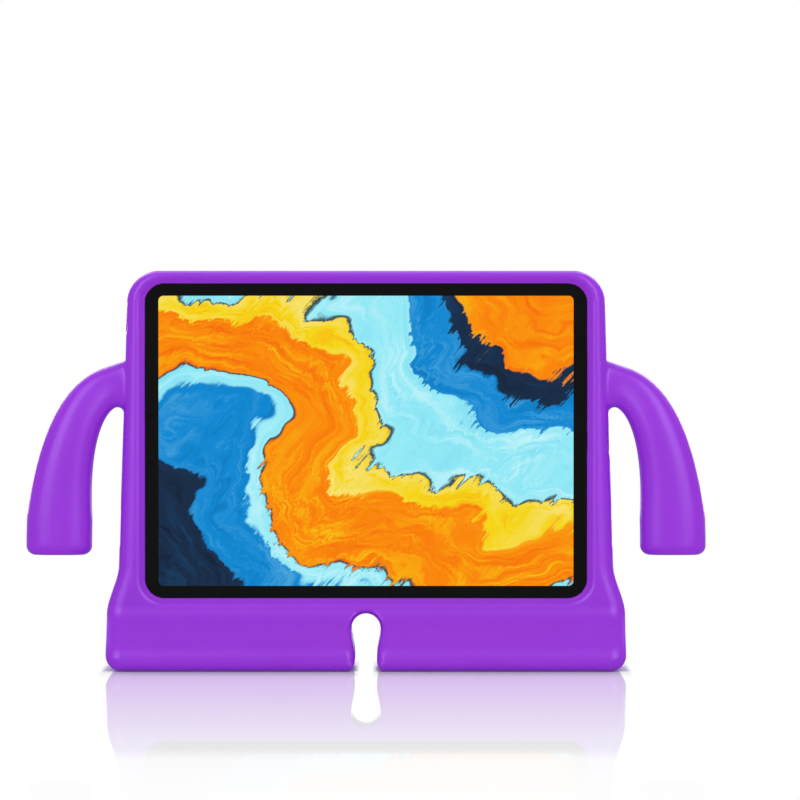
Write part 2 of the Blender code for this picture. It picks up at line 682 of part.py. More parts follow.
def housing_cutters():
    """Holes in the tray for the camera, flash, microphone, contacts, buttons, port and sound."""
    meshes = []
    lens_x, lens_z = lens_place()
    inner = TABLET_BACK - HOUSING_BACK - FIT
    outer = TABLET_BACK + CRACK
    round_holes = [
        ("lens_hole", lens_x, lens_z, RING_RADIUS + FIT, 24),
        ("mic_hole", lens_x + MIC_OFFSET, lens_z, MIC_RADIUS, 10),
        ("flash_hole", lens_x + FLASH_OFFSET, lens_z, FLASH_RADIUS + FIT, 16),
    ]
    dock_x = TABLET_WIDTH / 2 - DOCK_SIDE
    for index in (-1, 0, 1):
        z = TABLET_CENTRE_Z + index * DOCK_PAD_PITCH
        round_holes.append((f"dock_hole_{index + 2}", dock_x, z, DOCK_PAD_RADIUS + FIT, 16))
    for name, x, z, radius, sides in round_holes:
        loop = circle(radius, sides)
        meshes.append(rings_mesh(name, [along_y(loop, x, inner, z), along_y(loop, x, outer, z)]))
    for name, x, z, length, upright in button_places():
        pocket = BUTTON_DEPTH + BUTTON_TRAVEL + FIT - BUTTON_PROUD
        rings = edge_rings(upright, length + 2 * FIT, BUTTON_WIDTH + 2 * FIT, x, z, CRACK, pocket)
        meshes.append(rings_mesh(f"{name}_slot", rings))
    wide = rounded_rectangle(PORT_HEIGHT / 2 + FIT, PORT_WIDTH / 2 + FIT, PORT_HEIGHT / 2 + FIT)
    edge = TABLET_WIDTH / 2
    rings = [along_x(wide, x, TABLET_MID, TABLET_CENTRE_Z) for x in (edge - HOUSING_WALL - FIT, edge + CRACK)]
    meshes.append(rings_mesh("port_slot", rings))
    hole = circle(SPEAKER_HOLE_RADIUS, 8)
    for name, side, z in speaker_places():
        for index in range(SPEAKER_HOLES):
            shift = (index - (SPEAKER_HOLES - 1) / 2) * SPEAKER_HOLE_PITCH
            rings = [
                along_x(hole, side * x, TABLET_MID, z + shift)
                for x in (edge - HOUSING_WALL - FIT, edge + CRACK)
            ]
            meshes.append(rings_mesh(f"{name}_hole_{index}", rings))
    return meshes


def add_plate(name, outline, x, z, front, back, material):
    """A flat piece with an outline in the front view."""
    mesh = rings_mesh(name, [along_y(outline, x, front, z), along_y(outline, x, back, z)])
    return add_object(name, mesh, material)


def build_front(materials):
    """The cover glass, the display under it and the three sensors in the left border."""
    glass = tablet_outline(FRAME_LIP + FIT, steps=6)
    glass_back = GLASS_FACE + GLASS_THICKNESS
    add_plate("cover_glass", glass, 0.0, TABLET_CENTRE_Z, GLASS_FACE, glass_back, materials["glass"])
    display = rounded_rectangle(
        TABLET_WIDTH / 2 - DISPLAY_BORDER, TABLET_HEIGHT / 2 - DISPLAY_BORDER, DISPLAY_CORNER, 3
    )
    front = glass_back + FIT
    add_plate(
        "display_panel", display, 0.0, TABLET_CENTRE_Z, front, front + DISPLAY_THICKNESS, materials["display"]
    )
    sensor = circle(SENSOR_RADIUS, 16)
    x = -TABLET_WIDTH / 2 + SENSOR_SIDE
    for index, name in enumerate(("light_sensor", "front_camera", "infrared_camera")):
        z = TABLET_CENTRE_Z + SENSOR_SHIFT + (1 - index) * SENSOR_PITCH
        add_plate(name, sensor, x, z, front, front + SENSOR_DEPTH, materials["lens"])


def build_rear_camera(materials):
    """The raised ring, the lens in it with its barrel, and the flash lens beside it."""
    x, z = lens_place()
    bore = LENS_RADIUS + FIT
    inner = TABLET_BACK - HOUSING_BACK
    face = TABLET_BACK + RING_RISE
    levels = [
        (bore, inner),
        (RING_RADIUS, inner),
        (RING_RADIUS, face - RING_CHAMFER),
        (RING_RADIUS - RING_CHAMFER, face),
        (bore, face),
    ]
    loops = [along_y(circle(radius, 32), x, y, z) for radius, y in levels]
    add_object("rear_camera_ring", ring_mesh("rear_camera_ring", loops), materials["ring"])
    lens = circle(LENS_RADIUS, 32)
    lens_face = face - FIT
    add_plate("rear_camera_lens", lens, x, z, lens_face - LENS_THICKNESS, lens_face, materials["lens"])
    barrel_face = lens_face - LENS_THICKNESS - FIT
    barrel = circle(LENS_RADIUS - FIT, 24)
    add_plate("rear_camera_barrel", barrel, x, z, barrel_face - BARREL_DEPTH, barrel_face, materials["board"])
    flash = circle(FLASH_RADIUS, 20)
    add_plate(
        "flash_lens", flash, x + FLASH_OFFSET, z, TABLET_BACK - FLASH_THICKNESS, TABLET_BACK, materials["flash"]
    )


def build_dock_pads(materials):
    """Three round contacts in the back, one above another."""
    x = TABLET_WIDTH / 2 - DOCK_SIDE
    pad = circle(DOCK_PAD_RADIUS, 20)
    for index in (-1, 0, 1):
        z = TABLET_CENTRE_Z + index * DOCK_PAD_PITCH
        back = TABLET_BACK
        add_plate(f"dock_pad_{index + 2}", pad, x, z, back - DOCK_PAD_THICKNESS, back, materials["contact"])


def build_buttons(materials):
    """Three pill-shaped keys that slide into the tray's edge, each with its origin on its axis."""
    for name, x, z, length, upright in button_places():
        rings = edge_rings(
            upright, length, BUTTON_WIDTH, 0.0, 0.0, BUTTON_PROUD, BUTTON_DEPTH - BUTTON_PROUD
        )
        shifted = [ring - np.array([0.0, TABLET_MID, 0.0]) for ring in rings]
        button = add_object(name, rings_mesh(name, shifted), materials["housing"])
        button.location = (x, TABLET_MID, z)


def build_port(materials):
    """The metal sleeve of the charging port and the tongue inside it."""
    mouth = TABLET_WIDTH / 2 - FIT
    outer = rounded_rectangle(PORT_HEIGHT / 2, PORT_WIDTH / 2, PORT_HEIGHT / 2)
    inner = rounded_rectangle(
        PORT_HEIGHT / 2 - PORT_SHELL, PORT_WIDTH / 2 - PORT_SHELL, PORT_HEIGHT / 2 - PORT_SHELL
    )
    rear = mouth - PORT_LENGTH
    levels = [(inner, rear + PORT_SHELL), (inner, mouth), (outer, mouth), (outer, rear)]
    rings = [along_x(loop, x, TABLET_MID, TABLET_CENTRE_Z) for loop, x in levels]
    add_object("charging_port_shell", rings_mesh("charging_port_shell", rings), materials["contact"])
    tongue = rounded_rectangle(TONGUE_HEIGHT / 2, TONGUE_WIDTH / 2, TONGUE_CORNER, 2)
    start = rear + PORT_SHELL + FIT
    tongue_rings = [
        along_x(tongue, x, TABLET_MID, TABLET_CENTRE_Z) for x in (start, mouth - TONGUE_RECESS)
    ]
    add_object("charging_port_tongue", rings_mesh("charging_port_tongue", tongue_rings), materials["board"])


def build_inside(materials):
    """The speakers, battery cells and logic board between the display and the tray's floor."""
    front = GLASS_FACE + GLASS_THICKNESS + DISPLAY_THICKNESS + 3 * FIT
    back = TABLET_BACK - HOUSING_BACK - FIT
    speaker = rounded_rectangle(SPEAKER_DEPTH / 2, SPEAKER_LENGTH / 2, SPEAKER_CORNER, 3)
    inner_edge = TABLET_WIDTH / 2 - HOUSING_WALL - FIT
    for name, side, z in speaker_places():
        x = side * (inner_edge - SPEAKER_DEPTH / 2)
        add_plate(name, speaker, x, z, front, back, materials["board"])
    cell_inner = BOARD_WIDTH / 2 + CELL_GAP
    cell_outer = inner_edge - SPEAKER_DEPTH - BATTERY_SIDE
    cell = rounded_rectangle((cell_outer - cell_inner) / 2, TABLET_HEIGHT / 2 - BATTERY_END, CELL_CORNER, 3)
    shift = (cell_outer + cell_inner) / 2
    for name, side in (("battery_left", -1.0), ("battery_right", 1.0)):
        add_plate(name, cell, side * shift, TABLET_CENTRE_Z, front, back, materials["battery"])
    board = rounded_rectangle(BOARD_WIDTH / 2, TABLET_HEIGHT / 2 - BOARD_END, BOARD_CORNER, 3)
    add_plate("logic_board", board, 0.0, TABLET_CENTRE_Z, back - BOARD_THICKNESS, back, materials["board"])


def clear_scene():
    """Removes whatever the scene holds."""
    for obj in list(bpy.data.objects):
        bpy.data.objects.remove(obj, do_unlink=True)


def main():
    clear_scene()
    materials = {
        "foam": new_material("violet_foam", (0.325, 0.042, 0.705), 0.62),
        "housing": new_material("grey_aluminium", (0.30, 0.30, 0.32), 0.35, 1.0),
        "ring": new_material("polished_ring", (0.42, 0.42, 0.44), 0.22, 1.0),
        "glass": new_material("cover_glass", (0.010, 0.010, 0.012), 0.06),
        "display": new_material("display_panel", (0.02, 0.06, 0.12), 0.30),
        "lens": new_material("dark_lens", (0.008, 0.008, 0.012), 0.08),
        "flash": new_material("flash_diffuser", (0.86, 0.78, 0.58), 0.35),
        "contact": new_material("contact_metal", (0.34, 0.33, 0.32), 0.35, 1.0),
        "board": new_material("board_black", (0.020, 0.022, 0.025), 0.55),
        "battery": new_material("battery_wrap", (0.060, 0.062, 0.068), 0.50),
    }
    build_foam_case(materials["foam"])
    build_housing(materials["housing"])
    build_front(materials)
    build_rear_camera(materials)
    build_dock_pads(materials)
    build_buttons(materials)
    build_port(materials)
    build_inside(materials)


main()
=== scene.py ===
"""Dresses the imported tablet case: its moulded foam skin, the tablet's finishes and a plain studio.

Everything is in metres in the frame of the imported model: the screen faces -Y and the foot stands on Z = 0.
"""

import math

import bmesh
import bpy
import numpy as np
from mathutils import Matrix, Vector
from mathutils.kdtree import KDTree


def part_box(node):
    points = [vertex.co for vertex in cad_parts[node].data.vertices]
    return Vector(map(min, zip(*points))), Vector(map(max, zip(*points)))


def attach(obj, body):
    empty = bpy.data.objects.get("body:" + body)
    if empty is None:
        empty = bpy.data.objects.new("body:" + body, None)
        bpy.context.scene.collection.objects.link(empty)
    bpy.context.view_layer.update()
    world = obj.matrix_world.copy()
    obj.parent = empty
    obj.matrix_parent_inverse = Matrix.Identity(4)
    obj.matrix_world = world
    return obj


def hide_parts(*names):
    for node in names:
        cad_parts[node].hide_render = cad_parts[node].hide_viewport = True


bl_info = {
    "name": "Kids tablet case",
    "version": (1, 0, 0),
    "blender": (4, 5, 0),
    "location": "3D View > Sidebar > Tablet case",
    "description": "Models the foam skin of a tablet case and finishes the tablet in it",
    "category": "Object",
}

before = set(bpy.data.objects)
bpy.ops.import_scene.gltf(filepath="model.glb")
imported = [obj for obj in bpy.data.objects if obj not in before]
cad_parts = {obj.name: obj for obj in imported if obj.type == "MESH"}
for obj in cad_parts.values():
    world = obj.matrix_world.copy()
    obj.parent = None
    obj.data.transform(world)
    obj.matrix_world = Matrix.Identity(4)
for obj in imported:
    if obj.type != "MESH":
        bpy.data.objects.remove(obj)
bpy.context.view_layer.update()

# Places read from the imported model
TABLET_LOW, TABLET_HIGH = (np.array(corner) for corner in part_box("tablet_housing"))
CASE_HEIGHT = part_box("foam_case")[1].z
TABLET_WIDTH = TABLET_HIGH[0] - TABLET_LOW[0]
TABLET_HEIGHT = TABLET_HIGH[2] - TABLET_LOW[2]
TABLET_CENTRE_Z = (TABLET_HIGH[2] + TABLET_LOW[2]) / 2
TABLET_MID = (TABLET_HIGH[1] + TABLET_LOW[1]) / 2
GLASS_FACE = TABLET_LOW[1]
TABLET_BACK = TABLET_HIGH[1]
PANEL_LOW, PANEL_HIGH = (np.array(corner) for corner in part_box("display_panel"))
PANEL_MARGIN = 0.0006  # from the panel's edge to the lit area
LIT_HALF_WIDTH = (PANEL_HIGH[0] - PANEL_LOW[0]) / 2 - PANEL_MARGIN
LIT_HALF_HEIGHT = (PANEL_HIGH[2] - PANEL_LOW[2]) / 2 - PANEL_MARGIN

KEYS = ("power_button", "volume_up_button", "volume_down_button")
BLACK = (0.0, 0.0, 0.0)
WHITE = (1.0, 1.0, 1.0)


def middle_of(node):
    """The centre of a node's box."""
    low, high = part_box(node)
    return np.array((low + high) / 2)


LENS = middle_of("rear_camera_lens")
CONTACTS = [middle_of(f"dock_pad_{index}") for index in (1, 2, 3)]
SENSORS = {name: middle_of(name) for name in ("light_sensor", "front_camera", "infrared_camera")}


def metres(name, text, value):
    """A length that a user can change."""
    return bpy.props.FloatProperty(
        name=name, description=text, default=value, unit="LENGTH", subtype="DISTANCE", precision=4
    )


def number(name, text, value):
    """A plain number that a user can change."""
    return bpy.props.FloatProperty(name=name, description=text, default=value, precision=3)


def colour(name, text, value):
    """A linear colour that a user can change."""
    return bpy.props.FloatVectorProperty(
        name=name, description=text, default=value, size=3, subtype="COLOR", min=0.0, max=1.0
    )


class FoamSizes(bpy.types.PropertyGroup):
    """Walls, rim and outline of the moulding."""

    clearance: metres("Clearance", "Room between the foam and the tablet", 0.0003)
    side_wall: metres("Side wall", "Foam beside the tablet at the top of the case", 0.0079)
    rim_rise: metres("Rim rise", "How far the rim's crest stands in front of the glass", 0.0038)
    lip_side: metres("Side lip", "How far the lip covers the tablet's short sides", 0.0015)
    lip_top: metres("Top lip", "How far the lip covers the tablet's long sides", 0.0023)
    lip_thickness: metres("Lip thickness", "Thickness of the lip at its edge", 0.0012)
    lip_band: metres("Lip band", "Width of the flat band along the lip's edge", 0.0010)
    rim_slope: metres("Rim slope", "Width of the slope from the lip's band to the crest", 0.0036)
    rim_drop: metres("Rim drop", "Depth of the slope's middle behind the crest", 0.0011)
    side_taper: metres("Side taper", "How much a side would widen from the top to the ground", 0.0068)
    top_corner: metres("Top corner", "Radius of the upper corners", 0.0175)
    foot_flare: metres("Foot flare", "How far each side of the foot stands out", 0.0059)
    foot_corner: metres("Foot corner", "Radius of the foot's lower corners", 0.0090)
    flare_top: metres("Flare top", "Height at which the sides start to flare", 0.0585)
    flare_full: metres("Flare full", "Height at which the flare is complete", 0.0315)
    foot_spread: metres("Foot spread", "How far the foot stands out to the front and the back", 0.0160)
    back_flare_top: metres("Back flare top", "Height at which the back starts to spread", 0.0640)
    foot_toe: metres("Foot toe", "Height at which the foot is deepest", 0.0070)
    edge_inset_top: metres("Top edge inset", "Width of the edge rounding at the top and the ground", 0.0043)
    edge_inset_side: metres("Side edge inset", "Width of the edge rounding at the sides", 0.0088)
    edge_depth_front: metres("Front edge depth", "Depth of the edge rounding at the front", 0.0056)
    edge_depth_back: metres("Back edge depth", "Depth of the edge rounding at the back", 0.0070)
    edge_share: number("Edge share", "Most of the rim that its rounding may take", 0.97)
    grain: metres("Mesh grain", "Size of the cells that join the body, the arms and the openings", 0.0006)
    quick_grain: metres("Quick grain", "The same for a quick look", 0.0011)
    shoulder_fillet: metres("Shoulder fillet", "Reach of the fillet where an arm leaves the body", 0.0160)


class ArmSizes(bpy.types.PropertyGroup):
    """The path and the section of the two arms."""

    shoulder_height: metres("Shoulder height", "Height at which an arm leaves the body", 0.1574)
    reach: metres("Reach", "From the case's wall to the middle of the hand", 0.0363)
    drop: metres("Drop", "From the shoulder to the end of the hand", 0.0939)
    curve: number("Curve", "Exponent of the superellipse that the arm follows", 2.35)
    root: metres("Root", "How far the arm starts inside the wall", 0.0050)
    elbow_width: metres("Elbow width", "Width of the arm at the top", 0.0226)
    hand_width: metres("Hand width", "Width of the arm at its end", 0.0364)
    width_power: number("Width power", "How the width grows along the drop", 0.95)
    width_full_at: number("Width full at", "Share of the drop at which the width is complete", 0.78)
    shoulder_flare: metres("Shoulder flare", "Extra width where the arm meets the wall", 0.0056)
    shoulder_blend: metres("Shoulder blend", "Length over which the extra width fades", 0.0090)
    shoulder_depth: metres("Shoulder depth", "Thickness of the arm at the wall", 0.0150)
    hand_depth: metres("Hand depth", "Thickness of the arm at its end", 0.0236)
    section_power: number("Section power", "Exponent of the superellipse of the arm's section", 2.7)
    hand_edge: metres("Hand edge", "Rounding at the end of the hand", 0.0052)


class OpeningSizes(bpy.types.PropertyGroup):
    """The foot's keyhole and every window in the foam."""

    notch_radius: metres("Notch radius", "Radius of the keyhole's round head", 0.0081)
    notch_centre: metres("Notch centre", "Height of the round head's centre", 0.0231)
    notch_neck: metres("Notch neck", "Half the width of the keyhole's neck", 0.0061)
    notch_mouth: metres("Notch mouth", "Corner radius at the keyhole's mouth", 0.0057)
    notch_neck_height: metres("Notch neck height", "Height of the narrowest place", 0.0080)
    notch_edge: metres("Notch edge", "Rounding of the keyhole at the foot's front and back", 0.0042)
    camera_width: metres("Camera window width", "Width of the window round the rear camera", 0.0289)
    camera_height: metres("Camera window height", "Height of the same window", 0.0186)
    camera_shift: metres("Camera window shift", "From the lens to the window's middle", 0.0053)
    window_mouth: metres("Window mouth", "Width of the slope round a window at the back", 0.0028)
    window_edge: metres("Window edge", "Rounding where that slope meets the back", 0.0009)
    dock_width: metres("Contact window width", "Width of the window over the contacts", 0.0078)
    dock_height: metres("Contact window height", "Height of the same window", 0.0186)
    port_width: metres("Port hole width", "Length of the hole for the charging plug", 0.0140)
    port_depth: metres("Port hole depth", "Height of the same hole across the wall", 0.0075)
    slot_length: metres("Sound slot length", "Length of a sound slot", 0.0180)
    slot_depth: metres("Sound slot depth", "Width of a sound slot", 0.0036)
    wall_mouth: metres("Wall mouth", "Rounding of the holes in the side walls", 0.0014)
    pad_margin: metres("Pad margin", "How far a pad runs past its keys", 0.0016)
    pad_groove: metres("Pad groove", "Width of the groove round a pad", 0.0012)
    pad_sink: metres("Pad sink", "Depth of that groove", 0.0009)
    pad_depth: metres("Pad depth", "Width of a pad across the wall", 0.0058)


class TurnedSizes(bpy.types.PropertyGroup):
    """The small round pieces at the tablet's back."""

    lens_radius: metres("Lens radius", "Radius of the rear lens", 0.0052)
    lens_crown: metres("Lens crown", "How much the lens is domed", 0.00018)
    ring_radius: metres("Ring radius", "Outer radius of the ring round the lens", 0.0067)
    ring_rise: metres("Ring rise", "How far the ring stands out of the tablet", 0.0014)
    ring_edge: metres("Ring edge", "Rounding of the ring's edges", 0.0004)
    flash_radius: metres("Flash radius", "Radius of the flash lens", 0.0019)
    contact_radius: metres("Contact radius", "Radius of a contact", 0.0015)


class FinishColours(bpy.types.PropertyGroup):
    """Linear colours of every finish."""

    foam: colour("Foam", "Violet foam", (0.316, 0.0225, 0.742))
    border: colour("Border", "Black border under the glass", (0.0034, 0.0033, 0.0036))
    orange: colour("Orange", "Screen picture", (0.956, 0.238, 0.0006))
    yellow: colour("Yellow", "Screen picture", (0.913, 0.672, 0.006))
    navy: colour("Navy", "Screen picture", (0.0075, 0.023, 0.060))
    azure: colour("Azure", "Screen picture", (0.002, 0.245, 0.645))
    sky: colour("Sky", "Screen picture", (0.285, 0.815, 0.915))
    aluminium: colour("Aluminium", "Blasted tray", (0.321, 0.324, 0.348))
    ring: colour("Ring", "Turned ring round the lens", (0.36, 0.365, 0.38))
    contact: colour("Contact", "Plated contacts", (0.36, 0.37, 0.37))
    # The dark pill round the contacts is painted shade for the deep window over them.
    painted_contact_shade: colour("Contact field", "Dark field round the contacts", (0.030, 0.035, 0.040))
    flash: colour("Flash", "Cream flash lens", (0.93, 0.90, 0.77))
    lens: colour("Lens", "Coated lens", (0.0025, 0.0025, 0.0035))
    board: colour("Board", "Matt black board", (0.016, 0.020, 0.018))
    cell: colour("Cell", "Battery wrap", (0.055, 0.057, 0.062))


class StudioSettings(bpy.types.PropertyGroup):
    """The camera's place and the light."""

    pixel_scale: number("Pixel scale", "Photo pixels for one millimetre at the glass", 1.806)
    centre_column: number("Centre column", "Photo column of the case's middle", 366.0)
    ground_row: number("Ground row", "Photo row of the ground line", 670.0)
    distance: metres("Distance", "From the camera to the case", 3.2)
    elevation: number("Elevation", "Camera height above the horizon in degrees", 1.4)
    dome: number("Dome", "Strength of the white surroundings", 0.92)
    surround: number("Surround", "Strength of the same surroundings in reflections", 0.20)
    panel: number("Panels", "Strength of the bright panels beside the camera in reflections", 3.0)
    panel_angle: number("Panel angle", "Direction of a panel's middle from the camera in degrees", 26.0)
    panel_half: number("Panel half width", "Half of a panel's width in degrees", 21.0)
    front_lamps: number("Front lamps", "Power of each strip lamp in front in watts", 2.0)
    back_lamps: number("Back lamps", "Power of each strip lamp behind in watts", 1.5)
    top_lamp: number("Top lamp", "Power of the softbox overhead in watts", 2.0)
    mirror: number("Floor mirror", "Share of a clear reflection right in front of the foot", 0.48)
    mirror_reach: metres("Mirror reach", "Distance in front of the foot at which the reflection ends", 0.82)
    shadow_reach: metres("Shadow reach", "Distance from the foot at which its contact shadow ends", 0.045)


class CaseSettings(bpy.types.PropertyGroup):
    """All settings of the part's looks."""

    foam: bpy.props.PointerProperty(type=FoamSizes)
    arms: bpy.props.PointerProperty(type=ArmSizes)
    openings: bpy.props.PointerProperty(type=OpeningSizes)
    turned: bpy.props.PointerProperty(type=TurnedSizes)
    finish: bpy.props.PointerProperty(type=FinishColours)
    studio: bpy.props.PointerProperty(type=StudioSettings)


# Meshes


def grid_mesh(name, points, looped=False):
    """Joins a grid of points (levels, places round a loop) with quads, and closes the ends with flat faces.

    A looped grid joins its last level to the first, which makes a ring with no ends.
    """
    levels, count = points.shape[:2]
    rows = np.arange(levels if looped else levels - 1)[:, None]
    here = np.arange(count)[None, :]
    after = (here + 1) % count
    upper = rows * count
    lower = ((rows + 1) % levels) * count
    quads = np.stack((upper + here, upper + after, lower + after, lower + here), axis=-1)
    faces = quads.reshape(-1, 4).tolist()
    if not looped:
        faces.append(list(range(count))[::-1])
        faces.append(list(range((levels - 1) * count, levels * count)))
    mesh = bpy.data.meshes.new(name)
    mesh.from_pydata(points.reshape(-1, 3).tolist(), [], faces)
    return outward(mesh)


def outward(mesh):
    """Turns the faces of a closed mesh outwards."""
    solid = bmesh.new()
    solid.from_mesh(mesh)
    bmesh.ops.recalc_face_normals(solid, faces=solid.faces)
    if solid.calc_volume(signed=True) < 0.0:
        bmesh.ops.reverse_faces(solid, faces=solid.faces)
    solid.to_mesh(mesh)
    solid.free()
    return mesh


def joined_mesh(name, meshes):
    """Several closed meshes as one."""
    whole = bmesh.new()
    for mesh in meshes:
        whole.from_mesh(mesh)
    result = bpy.data.meshes.new(name)
    whole.to_mesh(result)
    whole.free()
    return result


def link(name, mesh):
    """A new object in the scene."""
    obj = bpy.data.objects.new(name, mesh)
    bpy.context.scene.collection.objects.link(obj)
    return obj


def bake(obj):
    """Applies an object's modifiers to its mesh."""
    graph = bpy.context.evaluated_depsgraph_get()
    mesh = bpy.data.meshes.new_from_object(obj.evaluated_get(graph), depsgraph=graph)
    old = obj.data
    obj.modifiers.clear()
    obj.data = mesh
    mesh.name = old.name
    bpy.data.meshes.remove(old)


def read(items, attribute, width, kind):
    """One attribute of all items of a mesh as the rows of an array."""
    values = np.empty(len(items) * width, kind)
    items.foreach_get(attribute, values)
    return values.reshape(-1, width)


def read_points(mesh):
    """The vertices of a mesh."""
    return read(mesh.vertices, "co", 3, np.float32).astype(float)


def read_normals(mesh):
    """The vertex normals of a mesh."""
    return read(mesh.vertex_normals, "vector", 3, np.float32)


def write_points(mesh, points):
    """Moves the vertices of a mesh."""
    mesh.vertices.foreach_set("co", points.astype(np.float32).ravel())
    mesh.update()


def follow(mesh, points, normals):
    """Lays a thinned mesh back on the fine one that it came from and shades it like that one.

    For every vertex the seven nearest fine vertices give a mean point q and a mean normal n, each with a
    weight of 1 / (r + d), where d is its distance and r is the distance of the farthest of them. The
    vertex p moves to p - n ((p - q) . n) and takes n as its shading normal.
    """
    tree = KDTree(len(points))
    for index, point in enumerate(points.tolist()):
        tree.insert(point, index)
    tree.balance()
    own = read_points(mesh)
    found = [tree.find_n(point, 7) for point in own.tolist()]
    near = np.array([[entry[1] for entry in entries] for entries in found])
    distance = np.array([[entry[2] for entry in entries] for entries in found])
    weight = 1.0 / (distance[:, -1:] + distance + 1e-9)
    weight /= weight.sum(axis=1, keepdims=True)
    middle = (points[near] * weight[:, :, None]).sum(axis=1)
    normal = (normals[near] * weight[:, :, None]).sum(axis=1)
    normal /= np.linalg.norm(normal, axis=1, keepdims=True) + 1e-9
    write_points(mesh, own - normal * ((own - middle) * normal).sum(axis=1, keepdims=True))
    mesh.shade_smooth()
    mesh.normals_split_custom_set_from_vertices(normal.tolist())


def relax(mesh, steps):
    """Rounds a mesh: each step moves every vertex towards the mean of its neighbours by its own share.

    A step is a number or an array of shares. A negative share pushes the vertices back out, so that a
    pair such as 0.5 and -0.52 takes away the steps of the cells and keeps the size.
    """
    points = read_points(mesh)
    first, second = read(mesh.edges, "vertices", 2, np.int32).T
    total = len(points)
    neighbours = np.bincount(first, minlength=total) + np.bincount(second, minlength=total)
    neighbours = np.maximum(neighbours, 1)
    for step in steps:
        for axis in range(3):
            column = points[:, axis]
            near = np.bincount(first, weights=column[second], minlength=total)
            near += np.bincount(second, weights=column[first], minlength=total)
            points[:, axis] = column + (near / neighbours - column) * step
    write_points(mesh, points)


def even_out(mesh, steps):
    """Relaxes a thinned mesh, but leaves alone the corners of each triangle that would fold over.

    A triangle folds where its normal turns by more than 60 degrees from the mean of the normals that
    its corners had before.
    """
    mesh.calc_loop_triangles()
    corners = read(mesh.loop_triangles, "vertices", 3, np.int32)
    kept = read_points(mesh)
    facing = read_normals(mesh)[corners].sum(axis=1)
    facing /= np.linalg.norm(facing, axis=1, keepdims=True)
    relax(mesh, steps)
    points = read_points(mesh)
    moved = np.ones(len(points), bool)
    while True:
        first, second, third = (points[corners[:, index]] for index in range(3))
        across = np.cross(second - first, third - first)
        folded = (across * facing).sum(axis=1) < 0.5 * np.linalg.norm(across, axis=1)
        loose = np.unique(corners[folded])
        loose = loose[moved[loose]]
        if not len(loose):
            break
        points[loose] = kept[loose]
        moved[loose] = False
    write_points(mesh, points)


# Outlines, in the front view (x, z)


def smooth(value):
    """Rises from 0 to 1 with level ends: 3v^2 - 2v^3."""
    value = np.clip(value, 0.0, 1.0)
    return value * value * (3.0 - 2.0 * value)


def arc(centre_x, centre_z, radius, start, end, steps):
    """Points on a circle from one angle to another in degrees, without the last one."""
    angles = np.radians(np.linspace(start, end, steps, endpoint=False))
    return np.column_stack((centre_x + radius * np.cos(angles), centre_z + radius * np.sin(angles)))


def run(start, end, steps):
    """Evenly spaced points on a straight line, without the last one."""
    share = np.linspace(0.0, 1.0, steps, endpoint=False)[:, None]
    return np.asarray(start) * (1.0 - share) + np.asarray(end) * share


def mirrored(half):
    """A right half outline, top centre to bottom centre, with its left half."""
    return np.vstack((half, half[-2:0:-1] * np.array([-1.0, 1.0])))


def inward_normals(outline):
    """Unit vectors that point into a clockwise outline: the tangent turned by a right angle."""
    along = np.roll(outline, -1, axis=0) - np.roll(outline, 1, axis=0)
    normals = np.column_stack((along[:, 1], -along[:, 0]))
    return normals / np.linalg.norm(normals, axis=1, keepdims=True)


def place(outline, y):
    """Front view points at a depth, which may differ from point to point."""
    return np.column_stack((outline[:, 0], np.broadcast_to(y, len(outline)), outline[:, 1]))


def rounded_rectangle(half_a, half_b, radius):
    """Four arcs joined by straight sides. A full radius makes a pill."""
    steps = 24
    radius = min(radius, half_a - 1e-6, half_b - 1e-6)
    corners = ((1, 1, 0.0), (-1, 1, 90.0), (-1, -1, 180.0), (1, -1, 270.0))
    arcs = [
        arc(sign_a * (half_a - radius), sign_b * (half_b - radius), radius, start, start + 90.0, steps)
        for sign_a, sign_b, start in corners
    ]
    return np.vstack(arcs)


